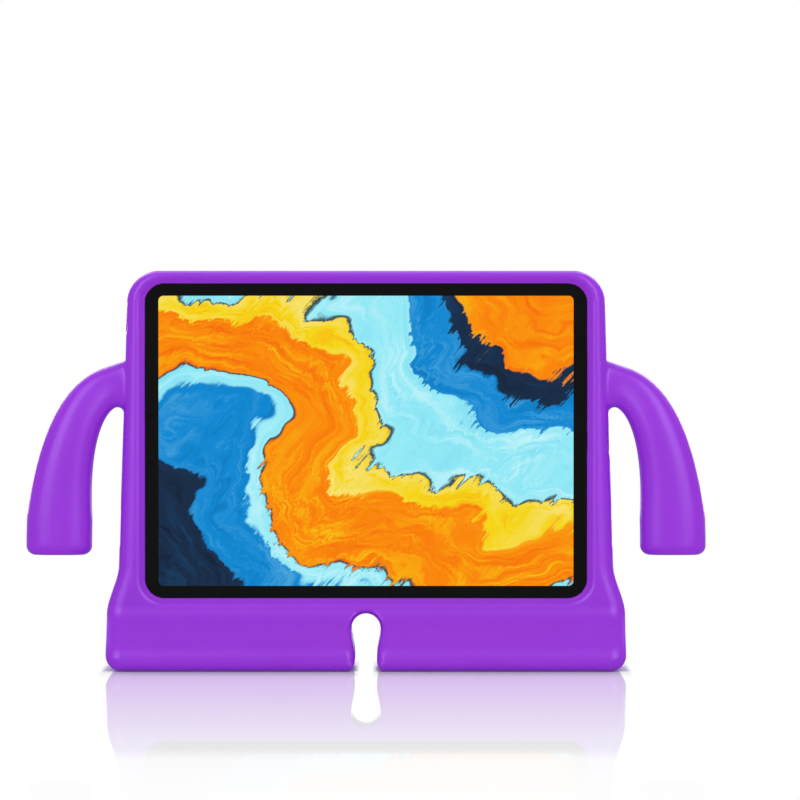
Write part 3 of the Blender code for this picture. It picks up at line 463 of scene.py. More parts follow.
class CaseForm:
    """The moulding's sizes that follow from the settings and the tablet."""

    TOP_POINTS = 40
    CORNER_POINTS = 36
    SIDE_POINTS = 50
    FLARE_POINTS = 60
    CRACK = 0.003  # cutters run this far past the face that they open

    def __init__(self, settings):
        self.foam = settings.foam
        self.arms = settings.arms
        self.openings = settings.openings
        foam = self.foam
        self.body_half = foam.rim_rise - GLASS_FACE
        self.top_half_width = TABLET_WIDTH / 2 + foam.clearance + foam.side_wall
        self.opening_x = TABLET_WIDTH / 2 - foam.lip_side
        self.opening_z = TABLET_HEIGHT / 2 - foam.lip_top
        self.tablet_corner = 0.0120
        self.faces = (
            (-1, self.front_depth, foam.edge_depth_front),
            (1, self.back_depth, foam.edge_depth_back),
        )

    def half_width(self, z):
        """Half the width at a height: a taper down to the flare's end plus a smooth flare at the foot."""
        foam = self.foam
        taper = foam.side_taper * (CASE_HEIGHT - np.maximum(z, foam.flare_full)) / CASE_HEIGHT
        flare = foam.foot_flare * smooth((foam.flare_top - z) / (foam.flare_top - foam.flare_full))
        return self.top_half_width + taper + flare

    def front_depth(self, z):
        """Distance of the front from the middle plane: level above, then a smooth spread to the toe."""
        foam = self.foam
        top = TABLET_CENTRE_Z - self.opening_z - foam.lip_band - foam.rim_slope
        return self.body_half + foam.foot_spread * smooth((top - z) / (top - foam.foot_toe))

    def back_depth(self, z):
        """Distance of the back from the middle plane, with the same spread from a greater height."""
        foam = self.foam
        share = (foam.back_flare_top - z) / (foam.back_flare_top - foam.foot_toe)
        return self.body_half + foam.foot_spread * smooth(share)

    def outline(self):
        """The silhouette, clockwise from the top centre: straight top, arc, tapered side, flare, arc."""
        foam = self.foam
        corner_z = CASE_HEIGHT - foam.top_corner
        corner_x = self.half_width(corner_z) - foam.top_corner
        foot_x = self.half_width(foam.foot_corner) - foam.foot_corner
        side_z = np.linspace(corner_z, foam.flare_top, self.SIDE_POINTS, endpoint=False)
        flare_z = np.linspace(foam.flare_top, foam.foot_corner, self.FLARE_POINTS, endpoint=False)
        wall_z = np.concatenate((side_z, flare_z))
        half = np.vstack((
            run((0.0, CASE_HEIGHT), (corner_x, CASE_HEIGHT), self.TOP_POINTS),
            arc(corner_x, corner_z, foam.top_corner, 90.0, 0.0, self.CORNER_POINTS),
            np.column_stack((self.half_width(wall_z), wall_z)),
            arc(foot_x, foam.foot_corner, foam.foot_corner, 0.0, -90.0, self.CORNER_POINTS),
            run((foot_x, 0.0), (0.0, 0.0), self.TOP_POINTS),
            np.array([[0.0, 0.0]]),
        ))
        return mirrored(half)

    def window(self, half_x, top, bottom, radius):
        """A rounded rectangle with one point for each point of the silhouette."""
        corner_x = half_x - radius
        half = np.vstack((
            run((0.0, top), (corner_x, top), self.TOP_POINTS),
            arc(corner_x, top - radius, radius, 90.0, 0.0, self.CORNER_POINTS),
            run((half_x, top - radius), (half_x, bottom + radius), self.SIDE_POINTS),
            arc(corner_x, bottom + radius, radius, 0.0, -90.0, self.FLARE_POINTS + self.CORNER_POINTS),
            run((corner_x, bottom), (0.0, bottom), self.TOP_POINTS),
            np.array([[0.0, bottom]]),
        ))
        return mirrored(half)

    def rim_width(self, outline):
        """Distance from outline points to the crest, a rounded rectangle: length(max(q, 0)) - r."""
        foam = self.foam
        margin = foam.lip_band + foam.rim_slope
        radius = self.tablet_corner - foam.lip_side + margin
        half = np.array((self.opening_x, self.opening_z)) + margin - radius
        beyond = np.maximum(np.abs(outline - (0.0, TABLET_CENTRE_Z)) - half, 0.0)
        return np.hypot(beyond[:, 0], beyond[:, 1]) - radius

    def opening(self, margin):
        """The window in front of the glass, grown by a margin."""
        return self.window(
            self.opening_x + margin,
            TABLET_CENTRE_Z + self.opening_z + margin,
            TABLET_CENTRE_Z - self.opening_z - margin,
            self.tablet_corner - self.foam.lip_side + margin,
        )


# The foam skin

MOST_TRIANGLES = 190000
FILLET_SOFTNESS = 0.0024  # how far the fillets at the arms are smoothed, whatever the cells' size


def body_grid(form):
    """The moulding's section carried round its silhouette.

    From the pocket's floor the section climbs the pocket's wall, turns over the lip, rises in an S to
    the rim's crest, runs to the outer edge, turns round it in two quarter ellipses, and crosses the back.
    """
    foam = form.foam
    outline = form.outline()
    normals = inward_normals(outline)
    inset = foam.edge_inset_top + (foam.edge_inset_side - foam.edge_inset_top) * np.abs(normals[:, 0])
    inset = np.minimum(inset, form.rim_width(outline) * foam.edge_share)
    pocket = form.window(
        TABLET_WIDTH / 2 + foam.clearance,
        TABLET_HIGH[2] + foam.clearance,
        TABLET_LOW[2] - foam.clearance,
        form.tablet_corner + foam.clearance,
    )
    lip_back = GLASS_FACE - foam.clearance
    lip_front = lip_back - foam.lip_thickness
    rings = [
        place(pocket, TABLET_BACK + foam.clearance),
        place(pocket, lip_back),
        place(form.opening(0.0), lip_back),
        place(form.opening(0.0), lip_front + foam.lip_thickness * 0.3),
        place(form.opening(foam.lip_thickness * 0.25), lip_front),
        place(form.opening(foam.lip_band), lip_front),
    ]
    crest = form.opening(foam.lip_band + foam.rim_slope)
    middle_y = -form.body_half + foam.rim_drop * 0.45
    for share in (0.3, 0.55, 0.8):
        height = np.interp(share, (0.0, 0.55, 1.0), (lip_front, middle_y, -form.body_half))
        rings.append(place(form.opening(foam.lip_band + foam.rim_slope * share), height))
    edge = outline + normals * inset[:, None]
    for share in np.linspace(0.0, 1.0, 14, endpoint=False):
        between = crest * (1.0 - share) + edge * share
        rings.append(place(between, -form.front_depth(between[:, 1])))
    quarter = np.linspace(0.0, math.pi / 2, 13)
    for side, depth_at, rounding in form.faces:
        for angle in quarter[::side]:
            shrunk = outline + normals * (inset * (1.0 - math.cos(angle)))[:, None]
            depth = depth_at(shrunk[:, 1]) - rounding * (1.0 - math.sin(angle))
            rings.append(place(shrunk, side * depth))
    middle = form.window(
        form.top_half_width * 0.75, CASE_HEIGHT - foam.top_corner, foam.back_flare_top, foam.top_corner
    )
    for share in np.linspace(0.0, 1.0, 31)[1:]:
        between = edge * (1.0 - share) + middle * share
        rings.append(place(between, form.back_depth(between[:, 1])))
    return np.array(rings)


def arm_grid(form, side):
    """Superellipse sections swept along a quarter superellipse that leaves the wall level.

    The path is x = wall + reach sin(t)^(2/n), z = shoulder - drop (1 - cos(t)^(2/n)). The width grows
    with the drop and flares at the wall, and the last sections shrink on a quarter circle.
    """
    arms = form.arms
    wall = form.half_width(arms.shoulder_height)
    turns = np.linspace(0.0, math.pi / 2, 150)
    x = wall + arms.reach * np.sin(turns) ** (2.0 / arms.curve)
    fall = (arms.drop - arms.hand_edge) * (1.0 - np.cos(turns) ** (2.0 / arms.curve))
    z = arms.shoulder_height - fall
    x = np.concatenate(([wall - arms.root], x))
    z = np.concatenate(([arms.shoulder_height], z))
    along = np.gradient(np.column_stack((x, z)), axis=0)
    along[0] = (1.0, 0.0)
    along[-1] = (0.0, -1.0)
    along /= np.linalg.norm(along, axis=1, keepdims=True)
    growth = np.clip((arms.shoulder_height - z) / (arms.drop * arms.width_full_at), 0.0, 1.0)
    flare = arms.shoulder_flare * np.clip(1.0 - (x - wall) / arms.shoulder_blend, 0.0, 1.0) ** 2
    width = arms.elbow_width + (arms.hand_width - arms.elbow_width) * growth ** arms.width_power + flare
    width[0] = width[1]
    depth = arms.shoulder_depth + (arms.hand_depth - arms.shoulder_depth) * smooth((x - wall) / arms.reach)
    finish = np.linspace(0.0, math.pi / 2, 13)[1:]
    advance = np.concatenate((np.zeros(len(x)), arms.hand_edge * np.sin(finish)))
    shrink = np.concatenate((np.zeros(len(x)), arms.hand_edge * (1.0 - np.cos(finish))))
    row = np.concatenate((np.arange(len(x)), np.full(len(finish), len(x) - 1)))
    angles = np.linspace(0.0, 2.0 * math.pi, 96, endpoint=False)
    power = 2.0 / arms.section_power
    across = np.sign(np.cos(angles)) * np.abs(np.cos(angles)) ** power
    through = np.sign(np.sin(angles)) * np.abs(np.sin(angles)) ** power
    centre = np.column_stack((x, z))[row] + along[row] * advance[:, None]
    normal = np.column_stack((-along[:, 1], along[:, 0]))[row]
    half = width[row] / 2 - shrink
    flat = centre[:, None, :] + (half[:, None] * across[None, :])[:, :, None] * normal[:, None, :]
    y = (depth[row] / 2 - shrink)[:, None] * through[None, :]
    return np.stack((side * flat[:, :, 0], y, flat[:, :, 1]), axis=-1)


def notch_grid(form):
    """The keyhole's outline carried from front to back, wider at both faces by a quarter round.

    The round's radius fades to nothing at the ground.
    """
    size = form.openings
    reach = size.notch_neck + size.notch_mouth
    turn = np.linspace(0.0, math.pi / 2, 30)
    mouth = np.column_stack((
        reach - size.notch_mouth * np.sin(turn), size.notch_mouth * (1.0 - np.cos(turn))
    ))
    neck_z = np.linspace(size.notch_neck_height, size.notch_centre, 30)[:-1]
    rise = smooth((neck_z - size.notch_neck_height) / (size.notch_centre - size.notch_neck_height))
    neck = np.column_stack((size.notch_neck + (size.notch_radius - size.notch_neck) * rise, neck_z))
    head = np.column_stack((
        size.notch_radius * np.cos(turn), size.notch_centre + size.notch_radius * np.sin(turn)
    ))
    right = np.vstack(([[reach, -form.CRACK]], mouth, neck, head))
    outline = np.vstack((right, right[-2::-1] * np.array([-1.0, 1.0])))
    heights = outline[:, 1]
    edge = size.notch_edge * smooth(heights / size.notch_mouth)
    wider = inward_normals(outline) * edge[:, None]
    outer = form.body_half + form.foam.foot_spread + form.CRACK
    quarter = np.linspace(0.0, math.pi / 2, 9)
    rings = [place(outline + wider, -outer)]
    for side, depth_at, _ in form.faces:
        for angle in quarter[::side]:
            depth = depth_at(heights) - edge * (1.0 - math.sin(angle))
            rings.append(place(outline + wider * (1.0 - math.cos(angle)), side * depth))
    rings.append(place(outline + wider, outer))
    return np.array(rings)


def tube(name, axis, centre, levels, looped=False):
    """A tube with closed ends along X, Y or Z through a centre, from (flat loop, place on the axis) pairs.

    A looped tube is a band instead, whose last loop joins the first.
    """
    x, y, z = centre
    rings = []
    for loop, along in levels:
        a, b = loop.T
        flat = np.full(len(loop), along)
        columns = {"X": (flat, y + a, z + b), "Y": (x + a, flat, z + b), "Z": (x + b, y + a, flat)}
        rings.append(np.column_stack(columns[axis]))
    return grid_mesh(name, np.array(rings), looped)


def window_levels(half_a, half_b, mouth, edge, inner, outer, crack):
    """(loop, depth) pairs of a pill-shaped hole whose mouth slopes open and ends in a rounded edge.

    The slope runs from twice the mouth's width below the face. The edge is a quarter round of its own
    radius, so that a radius equal to the mouth makes the whole mouth a quarter round.
    """
    radius = min(half_a, half_b)
    levels = [(rounded_rectangle(half_a, half_b, radius), inner)]
    if edge < mouth:
        levels.append((levels[0][0], outer - 2.0 * mouth))
    for angle in np.linspace(0.0, math.pi / 2, 13):
        grow = mouth - edge * math.cos(angle)
        loop = rounded_rectangle(half_a + grow, half_b + grow, radius + grow)
        levels.append((loop, outer - edge * (1.0 - math.sin(angle))))
    levels.append((levels[-1][0], outer + crack))
    return levels


def window_meshes(form):
    """The holes for the camera, the contacts, the plug and the sound."""
    size = form.openings
    inner = TABLET_BACK + form.foam.clearance - form.CRACK / 2
    meshes = []
    back_windows = (
        (LENS[0] + size.camera_shift, LENS[2], size.camera_width, size.camera_height),
        (CONTACTS[1][0], CONTACTS[1][2], size.dock_width, size.dock_height),
    )
    for x, z, width, height in back_windows:
        mouth, edge = size.window_mouth, size.window_edge
        levels = window_levels(width / 2, height / 2, mouth, edge, inner, form.body_half, form.CRACK)
        meshes.append(tube("back_window", "Y", (x, 0.0, z), levels))
    sound_z = middle_of("speaker_lower_right")[2]
    wall_holes = (
        (1.0, TABLET_CENTRE_Z, size.port_width, size.port_depth),
        (1.0, sound_z, size.slot_length, size.slot_depth),
        (-1.0, sound_z, size.slot_length, size.slot_depth),
    )
    start = TABLET_WIDTH / 2 - form.CRACK / 2
    mouth = size.wall_mouth
    for side, z, length, depth in wall_holes:
        levels = window_levels(depth / 2, length / 2, mouth, mouth, start, form.half_width(z), form.CRACK)
        levels = [(loop, side * x) for loop, x in levels]
        meshes.append(tube("wall_hole", "X", (0.0, TABLET_MID, z), levels))
    return meshes


def key_room_meshes(form):
    """Room in the foam for the three keys, each a pill a clearance larger than its key."""
    gap = form.foam.clearance
    meshes = []
    for name in KEYS:
        low, high = (np.array(corner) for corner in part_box(name))
        centre = (low + high) / 2
        half = (high - low) / 2 + gap
        if name == "power_button":
            axis, length, ends = "X", half[2], (low[0] - gap, centre[0] + form.CRACK)
        else:
            axis, length, ends = "Z", half[0], (high[2] + gap, centre[2] - form.CRACK)
        loop = rounded_rectangle(half[1], length, half[1])
        meshes.append(tube(f"{name}_room", axis, centre, [(loop, end) for end in ends]))
    return meshes


def pad_meshes(form):
    """Grooves that outline the soft pads over the keys: a pill-shaped band with a square section."""
    size = form.openings
    power_low, power_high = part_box("power_button")
    up_low, down_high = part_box("volume_up_button")[0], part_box("volume_down_button")[1]
    power_z = (power_low.z + power_high.z) / 2
    wall_x = -form.half_width(power_z)
    keys_x = (up_low.x + down_high.x) / 2
    top, sink = CASE_HEIGHT, size.pad_sink
    pads = (
        ("X", wall_x, power_z, power_high.z - power_low.z, wall_x - form.CRACK, wall_x + sink),
        ("Z", keys_x, top, down_high.x - up_low.x, top + form.CRACK, top - sink),
    )
    meshes = []
    for axis, x, z, length, above, sunk in pads:
        half_a, half_b, groove = size.pad_depth / 2, length / 2 + size.pad_margin, size.pad_groove
        wide = rounded_rectangle(half_a + groove, half_b + groove, half_a + groove)
        narrow = rounded_rectangle(half_a, half_b, half_a)
        levels = [(wide, above), (wide, sunk), (narrow, sunk), (narrow, above)]
        meshes.append(tube("pad_groove", axis, (x, TABLET_MID, z), levels, looped=True))
    return meshes


def build_foam(settings):
    """The whole moulding as one closed skin, joined in fine cells and rounded like pressed foam."""
    form = CaseForm(settings)
    foam = form.foam
    skin = link("foam_skin", grid_mesh("foam_skin", body_grid(form)))
    tools = []
    for name, side in (("left_arm_form", -1.0), ("right_arm_form", 1.0)):
        arm = link(name, grid_mesh(name, arm_grid(form, side)))
        add_boolean(skin, arm, "UNION")
        tools.append(arm)
    openings = [grid_mesh("notch", notch_grid(form))]
    openings += window_meshes(form) + key_room_meshes(form) + pad_meshes(form)
    holes = link("foam_openings", joined_mesh("foam_openings", openings))
    add_boolean(skin, holes, "DIFFERENCE")
    tools.append(holes)
    grain = foam.grain
    cells = skin.modifiers.new("join", "REMESH")
    cells.mode = "VOXEL"
    cells.voxel_size = grain
    bake(skin)
    for tool in tools:
        bpy.data.objects.remove(tool, do_unlink=True)
    soften(skin.data, form, grain)
    fine_points, fine_normals = read_points(skin.data), read_normals(skin.data)
    triangles = sum(len(face.vertices) - 2 for face in skin.data.polygons)
    if triangles > MOST_TRIANGLES:
        thin = skin.modifiers.new("thin", "DECIMATE")
        thin.ratio = MOST_TRIANGLES / triangles
        bake(skin)
        even_out(skin.data, [0.4] * 3)
    follow(skin.data, fine_points, fine_normals)
    skin.data.materials.clear()
    skin.data.materials.append(foam_material(settings.finish))
    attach(skin, "case")
    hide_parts("foam_case")


def soften(mesh, form, grain):
    """Takes away the cells' steps everywhere, then rounds the arm roots into soft fillets.

    In each pass of the second part a vertex moves towards its neighbours by a share that falls smoothly
    from a half at the shoulder, where the arm's side meets the wall, to 0 at the fillet's reach.
    """
    relax(mesh, [0.5, -0.52] * 6)
    points = read_points(mesh)
    arms = form.arms
    away_x = (np.abs(points[:, 0]) - form.half_width(arms.shoulder_height)) / form.foam.shoulder_fillet
    half_height = (arms.elbow_width + arms.shoulder_flare) / 2
    away_z = (np.abs(points[:, 2] - arms.shoulder_height) - half_height) / form.foam.shoulder_fillet
    distance = np.hypot(away_x, np.maximum(away_z, 0.0))
    share = 0.5 * smooth(1.0 - distance)
    passes = round((FILLET_SOFTNESS / grain) ** 2)
    relax(mesh, [share] * passes)


def add_boolean(obj, tool, operation):
    """An exact Boolean with another object."""
    modifier = obj.modifiers.new(operation.lower(), "BOOLEAN")
    modifier.operation = operation
    modifier.solver = "EXACT"
    modifier.object = tool


# Finishes


def darker(value, factor):
    """A colour times a factor."""
    return [min(channel * factor, 1.0) for channel in value]


def toned(first, second, share):
    """A colour between two others."""
    return [a * (1.0 - share) + b * share for a, b in zip(first, second)]


class Value:
    """A node's output that can be reckoned with: each + - * / and abs() adds a Math node."""

    def __init__(self, nodes, socket):
        self.nodes = nodes
        self.socket = socket

    def __add__(self, other):
        return self.nodes.math("ADD", self, other)

    def __sub__(self, other):
        return self.nodes.math("SUBTRACT", self, other)

    def __mul__(self, other):
        return self.nodes.math("MULTIPLY", self, other)

    def __truediv__(self, other):
        return self.nodes.math("DIVIDE", self, other)

    def __abs__(self):
        return self.nodes.math("ABSOLUTE", self)


class Nodes:
    """A node tree and short ways to add to it."""

    def __init__(self, tree):
        self.tree = tree

    def feed(self, node, socket, value):
        """Sets or links an input of a node."""
        if isinstance(value, Value):
            self.tree.links.new(value.socket, node.inputs[socket])
        else:
            node.inputs[socket].default_value = value

    def node(self, kind, *values, **settings):
        """A new node with some settings, whose inputs are fed in order."""
        node = self.tree.nodes.new(f"ShaderNode{kind}")
        for name, value in settings.items():
            setattr(node, name, value)
        for socket, value in enumerate(values):
            self.feed(node, socket, value)
        return node

    def result(self, node, socket=0):
        """An output of a node."""
        return Value(self, node.outputs[socket])

    def math(self, operation, *values):
        """A Math node."""
        return self.result(self.node("Math", *values, operation=operation))

    def largest(self, first, second):
        """The larger of two values."""
        return self.math("MAXIMUM", first, second)

    def spread(self, value, low, high, to_low, to_high, soft=False):
        """Maps a range to another, with clamped ends."""
        kind = "SMOOTHSTEP" if soft else "LINEAR"
        return self.result(self.node("MapRange", value, low, high, to_low, to_high, interpolation_type=kind))

    def split(self, vector):
        """The X, Y and Z of a vector."""
        node = self.node("SeparateXYZ", vector)
        return [self.result(node, axis) for axis in range(3)]

    def blend(self, factor, first, second):
        """Mixes two shaders."""
        return self.result(self.node("MixShader", factor, first, second))

    def surface(self, output, shader):
        """Feeds the tree's output node."""
        self.feed(self.tree.nodes[output], "Surface", shader)

    def rays(self):
        """Three switches: 1 for rays from the camera, for those and rays through glass, for mirrored rays."""
        path = self.node("LightPath")
        camera, clear, mirrored = (
            self.result(path, f"Is {kind} Ray") for kind in ("Camera", "Transmission", "Glossy")
        )
        return camera, self.largest(camera, clear), mirrored


class Paint(Nodes):
    """One material with a Principled shader, and the nodes that are added to it."""

    def __init__(self, name, colour=(0.5, 0.5, 0.5), roughness=0.5, metallic=0.0, specular=0.5):
        self.material = bpy.data.materials.new(name)
        self.material.use_nodes = True
        super().__init__(self.material.node_tree)
        self.shader = self.tree.nodes["Principled BSDF"]
        self.set("Base Color", (*colour, 1.0))
        self.set("Roughness", roughness)
        self.set("Metallic", metallic)
        self.set("Specular IOR Level", specular)
        self.material.diffuse_color = (*colour, 1.0)
        self.place = self.result(self.node("TexCoord"), "Object")

    def set(self, socket, value):
        """Sets or links one of the shader's sockets."""
        self.feed(self.shader, socket, value)

    def axes(self, centre=(0.0, 0.0, 0.0)):
        """The object's X, Y and Z about a centre."""
        shifted = self.node("VectorMath", self.place, tuple(centre), operation="SUBTRACT")
        return self.split(self.result(shifted))

    def combine(self, x, y, z):
        """A vector from three values."""
        return self.result(self.node("CombineXYZ", x, y, z))

    def noise(self, scale, detail=2.0, vector=None, roughness=0.5, distortion=0.0):
        """Noise in the object's place, or along a given vector."""
        node = self.node("TexNoise")
        self.feed(node, "Vector", vector or self.place)
        self.feed(node, "Scale", scale)
        self.feed(node, "Detail", detail)
        self.feed(node, "Roughness", roughness)
        self.feed(node, "Distortion", distortion)
        return self.result(node, "Fac")

    def ramp(self, value, stops):
        """A colour ramp through (position, colour) stops."""
        node = self.node("ValToRGB", value)
        band = node.color_ramp
        for index, (position, shade) in enumerate(stops):
            stop = band.elements[index] if index < 2 else band.elements.new(position)
            stop.position = position
            stop.color = (*shade, 1.0)
        return self.result(node, "Color")

    def cloudy(self, shade, scale, detail, margin, low, high):
        """A colour that drifts with a noise between two multiples of itself.

        The noise reaches the two ends at the margin and at one minus the margin.
        """
        drift = self.noise(scale, detail)
        return self.ramp(drift, [(margin, darker(shade, low)), (1.0 - margin, darker(shade, high))])

    def mix(self, factor, first, second):
        """Mixes two colours."""
        node = self.node("Mix", factor, data_type="RGBA")
        for socket, value in ((6, first), (7, second)):
            self.feed(node, socket, value if isinstance(value, Value) else (*value, 1.0))
        return self.result(node, 2)

    def bump(self, height, distance):
        """A bump of a real height in metres."""
        node = self.node("Bump")
        self.feed(node, "Distance", distance)
        self.feed(node, "Height", height)
        self.set("Normal", self.result(node))

    def inside(self, distance, edge):
        """1 inside a signed distance, 0 outside, with an edge of a given width."""
        return self.spread(distance, -edge / 2, edge / 2, 1.0, 0.0)

    def radius(self, x, z):
        """Distance from the axis."""
        return self.math("SQRT", x * x + z * z)

    def round_box(self, x, z, half_x, half_z, radius):
        """Signed distance to a rounded rectangle: length(max(q, 0)) + min(max(qx, qz), 0) - r."""
        q_x = abs(x) - (half_x - radius)
        q_z = abs(z) - (half_z - radius)
        beyond = self.radius(self.largest(q_x, 0.0), self.largest(q_z, 0.0))
        return beyond + self.math("MINIMUM", self.largest(q_x, q_z), 0.0) - radius

    def circles(self, reach, pitch):
        """A wave across circles of a given pitch, from -1 to 1."""
        return self.math("SINE", reach * (2.0 * math.pi / pitch))


def foam_material(colours):
    """Closed-cell foam: a matt violet skin, faintly uneven in tone, with a fine moulded grain."""
    paint = Paint("violet_foam_skin", roughness=0.32, specular=0.5)
    tone = paint.cloudy(colours.foam, scale=26.0, detail=3.0, margin=0.30, low=0.972, high=1.018)
    paint.set("Base Color", tone)
    wear = paint.noise(scale=70.0, detail=4.0)
    paint.set("Roughness", paint.spread(wear, 0.3, 0.7, 0.283, 0.318))
    grain = paint.noise(scale=1500.0, detail=2.0)
    orange_peel = paint.noise(scale=320.0, detail=2.0)
    paint.bump(grain + orange_peel * 1.6, 0.000012)
    return paint.material


def screen_picture(paint, x, z, colours):
    """Poured paint: broad flowing bands with torn edges and drawn-out streaks.

    The band's number is a slanted coordinate, bent by two sine waves and by broad noise. Fine noise and
    short fingers across the flow tear its edges. Each colour has a lighter and a deeper tone, mixed in
    by noise that is drawn out along the bands.
    """
    half_width, half_height = 0.1149, 0.0803
    across = x * (1.0 / half_width)
    up = z * (1.0 / half_height)

    def wave(by_across, by_up, phase, height):
        return paint.math("SINE", across * by_across + up * by_up + phase) * height

    def centred(value, height):
        return (value - 0.5) * height

    flat = paint.combine(across, 0.0, up)
    bent = across * 0.42 + up * 0.52 + wave(2.5, -1.1, 0.4, 0.20) + wave(-3.5, 4.1, 1.9, 0.07)
    bent += centred(paint.noise(1.25, 3.0, flat), 1.0)
    along = across * 0.8 - up * 0.5
    fingers = paint.noise(4.0, 5.0, paint.combine(bent * 1.5, 0.0, along * 6.0), roughness=0.7)
    torn = paint.spread(paint.noise(1.7, 2.0, flat), 0.36, 0.60, 0.15, 1.0)
    field = bent + centred(paint.noise(8.0, 6.0, flat, roughness=0.68), 0.08) * torn
    field += paint.spread(fingers, 0.50, 0.80, 0.0, 0.13) * torn
    share = paint.spread(field, -1.0, 1.0, 0.0, 1.0)

    orange, yellow, navy, azure, sky = (
        colours.orange, colours.yellow, colours.navy, colours.azure, colours.sky
    )
    ember = (0.87, 0.10, 0.0)
    cream = (1.0, 0.95, 0.50)
    white = (0.80, 0.97, 1.0)
    palette = {  # plain, lighter and deeper
        "navy": (navy, toned(navy, azure, 0.10), darker(navy, 0.5)),
        "azure": (azure, toned(azure, sky, 0.22), toned(azure, navy, 0.30)),
        "sky": (sky, toned(sky, white, 0.50), toned(sky, azure, 0.16)),
        "line": (darker(navy, 0.8), navy, navy),
        "orange": (orange, toned(orange, yellow, 0.62), toned(orange, ember, 0.75)),
        "yellow": (yellow, toned(yellow, cream, 0.35), toned(yellow, orange, 0.55)),
    }
    bands = (
        (0.00, "navy"), (0.16, "azure"), (0.285, "sky"), (0.330, "line"), (0.336, "orange"),
        (0.535, "yellow"), (0.600, "line"), (0.606, "sky"), (0.755, "azure"), (0.860, "navy"),
        (0.905, "orange"),
    )
    edge = 0.0012
    ends = [start for start, _ in bands[1:]] + [1.0 + edge]
    tones = []
    for tone in range(3):
        stops = []
        for (start, name), end in zip(bands, ends):
            shade = palette[name][tone]
            stops += [(start + edge if start else 0.0, shade), (end - edge, shade)]
        tones.append(paint.ramp(share, stops))
    plain, lighter, deeper = tones
    drawn = paint.combine(field * 8.0, 0.0, along * 1.2)
    streaks = paint.noise(2.4, 8.0, drawn, roughness=0.70, distortion=0.5)
    patches = paint.spread(paint.noise(2.0, 3.0, flat), 0.35, 0.62, 0.25, 1.0)
    lit = paint.mix(paint.spread(streaks, 0.49, 0.62, 0.0, 1.0) * patches, plain, lighter)
    return paint.mix(paint.spread(streaks, 0.36, 0.47, 0.85, 0.0), lit, deeper)


def glass_material(colours):
    """Cover glass: black border, three faint sensors on the left, a painted glint on the middle one, and the
    lit screen under it.
    """
    paint = Paint("cover_glass_over_screen", roughness=0.07, specular=0.25)
    x, _, z = paint.axes((0.0, 0.0, TABLET_CENTRE_Z))
    lit = paint.inside(paint.round_box(x, z, LIT_HALF_WIDTH, LIT_HALF_HEIGHT, 0.0028), 0.00012)
    sensor_radius, painted_glint_radius, soft_edge = 0.00125, 0.00038, 0.0003
    tone = colours.border
    for name, centre in SENSORS.items():
        across, _, up = paint.axes(centre)
        reach = paint.radius(across, up)
        tone = paint.mix(paint.inside(reach - sensor_radius, soft_edge), tone, darker(colours.border, 0.35))
        # On the front camera a small bluish disc is a painted glint, a highlight painted into the base
        # colour.
        if name == "front_camera":
            tone = paint.mix(paint.inside(reach - painted_glint_radius, soft_edge), tone, (0.012, 0.018, 0.024))
    paint.set("Base Color", paint.mix(lit, tone, BLACK))
    paint.set("Emission Color", paint.mix(lit, BLACK, screen_picture(paint, x, z, colours)))
    paint.set("Emission Strength", 1.0)
    return paint.material


def aluminium_material(name, colours, field=False):
    """Blasted and anodised aluminium: fine even grain, soft sheen, and painted shade round the contacts, a
    dark pill where their deep window falls into shadow.
    """
    paint = Paint(name, roughness=0.42, metallic=1.0)
    tone = paint.cloudy(colours.aluminium, scale=160.0, detail=3.0, margin=0.30, low=0.96, high=1.03)
    if field:
        # A dark pill of painted shade round the contacts, where the window over them is deep.
        half_width, half_height = 0.0031, 0.0074
        x, _, z = paint.axes(CONTACTS[1])
        pill = paint.inside(paint.round_box(x, z, half_width, half_height, 0.00309), 0.0003)
        tone = paint.mix(pill, tone, colours.painted_contact_shade)
    paint.set("Base Color", tone)
    grit = paint.noise(scale=5200.0, detail=2.0)
    paint.set("Roughness", paint.spread(grit, 0.3, 0.7, 0.38, 0.47))
    paint.bump(grit, 0.000006)
    return paint.material


def turned_metal(name, shade, roughness, centre):
    """Lathe-cut metal: fine circles about the piece's own axis."""
    paint = Paint(name, shade, roughness, metallic=1.0)
    x, _, z = paint.axes(centre)
    grooves = paint.circles(paint.radius(x, z), 0.00006)
    share = paint.spread(grooves, -1.0, 1.0, 0.0, 1.0)
    paint.set("Base Color", paint.ramp(share, [(0.0, darker(shade, 0.93)), (1.0, darker(shade, 1.05))]))
    paint.bump(grooves, 0.0000015)
    return paint.material


def lens_material(colours):
    """Coated lens: black, with a faint blue pupil that is a painted reflection of the coating, and two dim
    inner rings.
    """
    paint = Paint("coated_lens", roughness=0.06, specular=0.30)
    x, _, z = paint.axes(LENS)
    rim, black = 0.0052, colours.lens
    reach = paint.radius(x, z) * (1.0 / rim)
    # The bluish stops at the middle are a painted reflection of the coating, not the glass's own colour.
    stops = [
        (0.00, (0.016, 0.020, 0.040)), (0.16, (0.013, 0.016, 0.034)),
        (0.30, (0.004, 0.005, 0.011)), (0.44, black), (0.47, (0.012, 0.013, 0.017)),
        (0.50, black), (0.74, black), (0.77, (0.009, 0.010, 0.013)), (0.80, black),
        (0.95, black), (1.00, (0.020, 0.020, 0.023)),
    ]
    paint.set("Base Color", paint.ramp(reach, stops))
    return paint.material


def flash_material(colours, centre):
    """Cream frosted lens with fine prism rings."""
    paint = Paint("frosted_flash", colours.flash, 0.32, specular=0.5)
    x, _, z = paint.axes(centre)
    reach = paint.radius(x, z)
    edge = paint.spread(reach, 0.0012, 0.0019, 0.0, 1.0)
    paint.set("Base Color", paint.mix(edge, colours.flash, darker(colours.flash, 0.80)))
    paint.bump(paint.circles(reach, 0.00026), 0.00001)
    return paint.material


def moulded_material(name, shade, roughness, scale):
    """Matt moulded plastic or coated board: uneven tone and a light texture."""
    paint = Paint(name, shade, roughness)
    tone = paint.cloudy(shade, scale=scale, detail=4.0, margin=0.35, low=0.85, high=1.15)
    paint.set("Base Color", tone)
    paint.bump(paint.noise(scale=scale * 9.0, detail=2.0), 0.00001)
    return paint.material


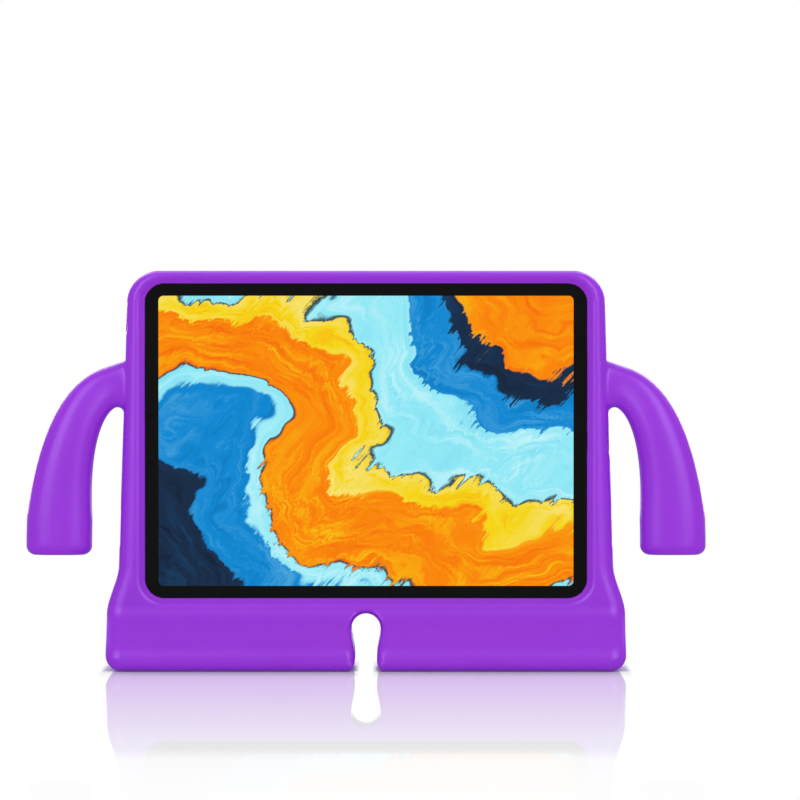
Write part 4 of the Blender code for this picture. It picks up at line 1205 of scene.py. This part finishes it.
def board_material(colours):
    """Circuit board: green-black lacquer with a lattice of traces."""
    paint = Paint("board_lacquer", colours.board, 0.45)
    x, _, z = paint.axes()
    bricks = paint.node("TexBrick", paint.combine(x, z, 0.0))
    paint.feed(bricks, "Scale", 260.0)
    paint.feed(bricks, "Mortar Size", 0.03)
    traces = paint.result(bricks, "Fac")
    paint.set("Base Color", paint.mix(traces, darker(colours.board, 1.8), colours.board))
    paint.bump(traces, 0.00002)
    return paint.material


def repaint(material, *nodes):
    """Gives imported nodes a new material."""
    for node in nodes:
        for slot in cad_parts[node].material_slots:
            slot.material = material


# Turned pieces at the tablet's back


def turned_grid(profile, centre, sides):
    """A profile of (radius, y) points spun about the lens axis: x = r cos t, z = r sin t."""
    profile = np.asarray(profile)
    angles = np.linspace(0.0, 2.0 * math.pi, sides, endpoint=False)
    radius, y = profile[:, :1], profile[:, 1:]
    x = centre[0] + radius * np.cos(angles)
    z = centre[2] + radius * np.sin(angles)
    return np.stack((x, np.broadcast_to(y, x.shape), z), axis=-1)


def quarter_round(radius, face, edge, steps=6, side=1.0):
    """A wall's rounded edge as (radius, y) points: r - side e (1 - cos t), face - e (1 - sin t)."""
    turn = np.linspace(0.0, math.pi / 2, steps)
    return np.column_stack((
        radius - side * edge * (1.0 - np.cos(turn)), face - edge * (1.0 - np.sin(turn))
    ))


def turned_piece(name, node, profile, centre, material, sides=128, looped=False):
    """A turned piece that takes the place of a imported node."""
    mesh = grid_mesh(name, turned_grid(profile, centre, sides), looped=looped)
    piece = link(name, mesh)
    mesh.shade_smooth()
    mesh.set_sharp_from_angle(angle=math.radians(40.0))
    mesh.materials.append(material)
    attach(piece, "case")
    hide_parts(node)


def build_rear_camera(settings):
    """The turned ring, the domed lens and the flash in the camera window."""
    size = settings.turned
    colours = settings.finish
    outer, inner = size.ring_radius, size.lens_radius + settings.foam.clearance
    back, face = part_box("rear_camera_ring")[0].y, TABLET_BACK + size.ring_rise
    outside = quarter_round(outer, face, size.ring_edge, 7)
    inside = quarter_round(inner, face, size.ring_edge, 7, side=-1.0)
    profile = np.vstack(([[inner, back], [outer, back]], outside, inside[::-1]))
    metal = turned_metal("turned_ring", colours.ring, 0.28, LENS)
    turned_piece("lens_ring", "rear_camera_ring", profile, LENS, metal, looped=True)

    low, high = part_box("rear_camera_lens")
    share = np.linspace(0.02, 1.0, 24)
    dome = np.column_stack((size.lens_radius * share, high.y - size.lens_crown * share ** 2))
    profile = np.vstack((dome, [[size.lens_radius, low.y]]))
    turned_piece("camera_lens", "rear_camera_lens", profile, LENS, lens_material(colours))

    centre = middle_of("flash_lens")
    low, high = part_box("flash_lens")
    radius = size.flash_radius
    shoulder = quarter_round(radius, high.y, radius * 0.2)
    profile = np.vstack(([[radius, low.y]], shoulder, [[radius * 0.1, high.y]]))
    cream = flash_material(colours, centre)
    turned_piece("flash_cover", "flash_lens", profile, centre, cream)
    repaint(moulded_material("barrel_black", (0.008, 0.008, 0.009), 0.6, 900.0), "rear_camera_barrel")


def build_contacts(settings):
    """Three round contacts, each with a rounded shoulder and a faint dish."""
    radius = settings.turned.contact_radius
    dish = 0.00005
    for index, centre in enumerate(CONTACTS, start=1):
        node = f"dock_pad_{index}"
        low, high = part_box(node)
        shoulder = quarter_round(radius, high.y, radius * 0.18)
        floor = [[radius * 0.5, high.y - dish * 0.6], [radius * 0.05, high.y - dish]]
        profile = np.vstack(([[radius, low.y]], shoulder, floor))
        metal = turned_metal(f"contact_plate_{index}", settings.finish.contact, 0.34, centre)
        turned_piece(f"contact_{index}", node, profile, centre, metal, sides=64)


# The studio


def build_floor(settings):
    """A white floor with a soft contact shadow and a reflection that fades towards the camera.

    Seen from the camera, the floor is plain white away from the foot. In front of it the white takes a
    violet colour, a painted bounce light from the foam, which fades with the reflection and leaves out the
    strip below the keyhole.
    """
    studio = settings.studio
    half = 9.0
    mesh = bpy.data.meshes.new("studio_floor")
    corners = [(-half, -half, 0.0), (half, -half, 0.0), (half, half, 0.0), (-half, half, 0.0)]
    mesh.from_pydata(corners, [], [(0, 1, 2, 3)])
    floor = link("studio_floor", mesh)
    paint = Paint("studio_floor", (0.86, 0.86, 0.86), roughness=1.0, specular=0.0)
    camera, seen, mirrored = paint.rays()
    x, y, _ = paint.axes()
    aside = abs(x)
    front = -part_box("foam_case")[0].y
    foot_x = CaseForm(settings).half_width(0.0)

    # The shadow fades much faster beside the foot, and there is none below the keyhole
    side_pinch, keyhole_light = 12.0, (0.0035, 0.0065)
    beyond_x = paint.largest(aside - foot_x, 0.0) * side_pinch
    beyond_y = paint.largest(abs(y) - front, 0.0)
    plain = paint.spread(paint.radius(beyond_x, beyond_y), 0.0, studio.shadow_reach, 0.0, 1.0, soft=True)
    plain = paint.largest(plain, paint.spread(aside, *keyhole_light, 1.0, 0.0))

    # The painted violet bounce light fills the strip that the foot covers as the camera sees it, but for the
    # keyhole
    painted_bounce_reach, foot_edge, keyhole_gap = 0.42, 0.002, (0.0055, 0.0085)
    ahead = y * -1.0 - front
    ahead_only = paint.spread(ahead, -0.01, 0.0, 0.0, 1.0)
    tapered = aside / (y * (1.0 / studio.distance) + 1.0)
    covered = paint.spread(tapered, foot_x - foot_edge, foot_x + foot_edge, 1.0, 0.0)
    covered *= paint.spread(tapered, *keyhole_gap, 0.0, 1.0)
    painted_bounce = covered * ahead_only * paint.spread(ahead, 0.0, painted_bounce_reach, 1.0, 0.0)
    # The violet (1, 0.89, 1) is painted bounce light from the foam on the white floor.
    white = paint.node("Emission", paint.mix(painted_bounce, WHITE, (1.0, 0.89, 1.0)))
    dim = paint.node("Emission", (*WHITE, 1.0), studio.surround)
    lifted = paint.blend(seen * plain, paint.result(paint.shader), paint.result(white))
    lifted = paint.blend(mirrored, lifted, paint.result(dim))

    # The reflection weakens with the distance, drops to a quarter on the way, and ends at the sides
    drop, quarter, sides = (0.49, 0.57), 0.25, (0.21, 0.27)
    gloss = paint.node("BsdfGlossy", (*WHITE, 1.0), 0.02)
    fade = paint.spread(ahead, 0.0, studio.mirror_reach, studio.mirror, 0.0)
    fade *= paint.spread(ahead, *drop, 1.0, quarter, soft=True)
    fade *= ahead_only
    fade *= paint.spread(aside, *sides, 1.0, 0.0, soft=True)
    paint.surface("Material Output", paint.blend(fade * camera, lifted, paint.result(gloss)))
    mesh.materials.append(paint.material)


def build_world(settings):
    """White surroundings, plain white where they are seen and softer as light on matt surfaces.

    Glossy surfaces see them dim, as in a studio whose lamps stand before dark walls: with tall bright
    panels on both sides of the camera, a bright ceiling towards the back and a white horizon there.
    """
    studio = settings.studio
    world = bpy.data.worlds.new("studio_dome")
    bpy.context.scene.world = world
    world.use_nodes = True
    sky = Nodes(world.node_tree)
    light = sky.tree.nodes["Background"]
    sky.feed(light, "Color", (*WHITE, 1.0))
    sky.feed(light, "Strength", studio.dome)
    _, seen, mirrored = sky.rays()
    x, y, z = sky.split(sky.result(sky.node("TexCoord"), "Generated"))
    azimuth = sky.math("ARCTAN2", abs(x), abs(y))
    half = math.radians(studio.panel_half)
    off_centre = abs(azimuth - math.radians(studio.panel_angle))
    panel_top, ceiling_front, ceiling_edge = (0.55, 0.85), (-0.10, 0.25), (0.30, 0.55)
    horizon_side, horizon_top = (0.80, 0.86), (0.16, 0.22)
    panels = sky.spread(off_centre, half * 0.4, half, 1.0, 0.0, soft=True)
    panels *= sky.spread(z, *panel_top, 1.0, 0.0, soft=True)
    ceiling = sky.spread(y, *ceiling_front, 0.0, 1.0, soft=True)
    ceiling *= sky.spread(z, *ceiling_edge, 0.0, 1.0, soft=True)
    backdrop = sky.spread(y, *horizon_side, 0.0, 1.0) * sky.spread(z, *horizon_top, 1.0, 0.0)
    glow = sky.spread(sky.largest(ceiling, backdrop), 0.0, 1.0, studio.surround, 1.0)
    reflected = sky.node("Background", (*WHITE, 1.0), glow + panels * studio.panel)
    white = sky.node("Background", (*WHITE, 1.0), 1.0)
    final = sky.blend(seen, sky.result(light), sky.result(white))
    sky.surface("World Output", sky.blend(mirrored, final, sky.result(reflected)))


def add_softbox(name, position, target, width, height, power):
    """A rectangular lamp aimed at a point."""
    lamp = bpy.data.lights.new(name, "AREA")
    lamp.shape = "RECTANGLE"
    lamp.size = width
    lamp.size_y = height
    lamp.energy = power
    obj = link(name, lamp)
    obj.location = position
    obj.rotation_euler = (Vector(target) - Vector(position)).to_track_quat("-Z", "Y").to_euler()


def build_lights(settings):
    """Tall strip lamps beside the camera and behind the case, and a wide one overhead."""
    studio = settings.studio
    target = (0.0, 0.0, CASE_HEIGHT / 2)
    strips = (("front", 0.72, -1.85, studio.front_lamps), ("back", 0.90, 1.80, studio.back_lamps))
    for side_name, side in (("left", -1.0), ("right", 1.0)):
        for name, x, y, power in strips:
            add_softbox(f"{side_name}_{name}_strip", (side * x, y, 0.75), target, 0.30, 1.4, power)
    add_softbox("top_softbox", (0.0, 0.10, 1.7), target, 1.6, 0.9, studio.top_lamp)


def build_camera(settings):
    """A long lens in front of the case, framed so that the case lies where the photograph has it."""
    studio = settings.studio
    scale = studio.pixel_scale * 1000.0
    picture = 800.0
    target_x = (picture / 2 - studio.centre_column) / scale
    target_z = (studio.ground_row - picture / 2) / scale
    target = Vector((target_x, GLASS_FACE, target_z))
    rise = math.radians(studio.elevation)
    away = Vector((0.0, -math.cos(rise), math.sin(rise)))
    camera = bpy.data.cameras.new("photo_camera")
    camera.sensor_width = 36.0
    camera.lens = camera.sensor_width * studio.distance / (picture / scale)
    camera.clip_end = 60.0
    obj = link("photo_camera", camera)
    obj.location = target + away * studio.distance
    obj.rotation_euler = (-away).to_track_quat("-Z", "Y").to_euler()
    bpy.context.scene.camera = obj
    bpy.context.scene.view_settings.view_transform = "Standard"


# Operators


class TABLETCASE_OT_foam(bpy.types.Operator):
    """Models the foam moulding with its rim, arms, foot and openings"""

    bl_idname = "tabletcase.foam"
    bl_label = "Foam moulding"

    def execute(self, context):
        build_foam(context.scene.tablet_case)
        return {"FINISHED"}


class TABLETCASE_OT_front(bpy.types.Operator):
    """Finishes the cover glass, the screen under it and the sensors"""

    bl_idname = "tabletcase.front"
    bl_label = "Glass and screen"

    def execute(self, context):
        colours = context.scene.tablet_case.finish
        repaint(glass_material(colours), "cover_glass")
        repaint(moulded_material("panel_film", (0.02, 0.05, 0.10), 0.3, 300.0), "display_panel")
        repaint(lens_material(colours), *SENSORS)
        return {"FINISHED"}


class TABLETCASE_OT_camera(bpy.types.Operator):
    """Models the rear camera's ring, its lens and the flash"""

    bl_idname = "tabletcase.rear_camera"
    bl_label = "Rear camera"

    def execute(self, context):
        build_rear_camera(context.scene.tablet_case)
        return {"FINISHED"}


class TABLETCASE_OT_metal(bpy.types.Operator):
    """Finishes the tray, the keys and the charging port, and models the contacts"""

    bl_idname = "tabletcase.metal"
    bl_label = "Metal tray and contacts"

    def execute(self, context):
        settings = context.scene.tablet_case
        colours = settings.finish
        # The tray gets the painted shade round the contacts.
        repaint(aluminium_material("blasted_tray", colours, field=True), "tablet_housing")
        repaint(aluminium_material("blasted_keys", colours), *KEYS)
        port = turned_metal("port_sleeve", colours.contact, 0.30, middle_of("charging_port_shell"))
        repaint(port, "charging_port_shell")
        build_contacts(settings)
        return {"FINISHED"}


class TABLETCASE_OT_inside(bpy.types.Operator):
    """Finishes the speakers, the battery cells and the board inside the tablet"""

    bl_idname = "tabletcase.inside"
    bl_label = "Inner pieces"

    def execute(self, context):
        colours = context.scene.tablet_case.finish
        corners = ("upper_left", "lower_left", "upper_right", "lower_right")
        speakers = [f"speaker_{corner}" for corner in corners]
        repaint(moulded_material("speaker_box", (0.020, 0.020, 0.022), 0.55, 420.0), *speakers)
        repaint(moulded_material("tongue_black", (0.012, 0.012, 0.013), 0.5, 1500.0), "charging_port_tongue")
        repaint(moulded_material("battery_foil", colours.cell, 0.42, 90.0), "battery_left", "battery_right")
        repaint(board_material(colours), "logic_board")
        return {"FINISHED"}


class TABLETCASE_OT_studio(bpy.types.Operator):
    """Sets up the floor, the light and the camera"""

    bl_idname = "tabletcase.studio"
    bl_label = "Studio"

    def execute(self, context):
        settings = context.scene.tablet_case
        build_floor(settings)
        build_world(settings)
        build_lights(settings)
        build_camera(settings)
        return {"FINISHED"}


class TABLETCASE_PT_panel(bpy.types.Panel):
    """Buttons and settings for each piece"""

    bl_idname = "TABLETCASE_PT_panel"
    bl_label = "Tablet case"
    bl_space_type = "VIEW_3D"
    bl_region_type = "UI"
    bl_category = "Tablet case"

    def draw(self, context):
        settings = context.scene.tablet_case
        for operator in OPERATORS:
            self.layout.operator(operator.bl_idname)
        for group in ("foam", "arms", "openings", "turned", "finish", "studio"):
            box = self.layout.box()
            box.label(text=group.capitalize())
            values = getattr(settings, group)
            for name in values.bl_rna.properties.keys():
                if name not in ("rna_type", "name"):
                    box.prop(values, name)


OPERATORS = (
    TABLETCASE_OT_foam,
    TABLETCASE_OT_front,
    TABLETCASE_OT_camera,
    TABLETCASE_OT_metal,
    TABLETCASE_OT_inside,
    TABLETCASE_OT_studio,
)
CLASSES = (
    FoamSizes, ArmSizes, OpeningSizes, TurnedSizes, FinishColours, StudioSettings, CaseSettings,
    *OPERATORS, TABLETCASE_PT_panel,
)


def register():
    for entry in CLASSES:
        bpy.utils.register_class(entry)
    bpy.types.Scene.tablet_case = bpy.props.PointerProperty(type=CaseSettings)


def unregister():
    del bpy.types.Scene.tablet_case
    for entry in reversed(CLASSES):
        bpy.utils.unregister_class(entry)


def main():
    register()
    bpy.ops.tabletcase.studio()
    bpy.ops.tabletcase.foam()
    bpy.ops.tabletcase.front()
    bpy.ops.tabletcase.rear_camera()
    bpy.ops.tabletcase.metal()
    bpy.ops.tabletcase.inside()


if __name__ == "__main__":
    main()
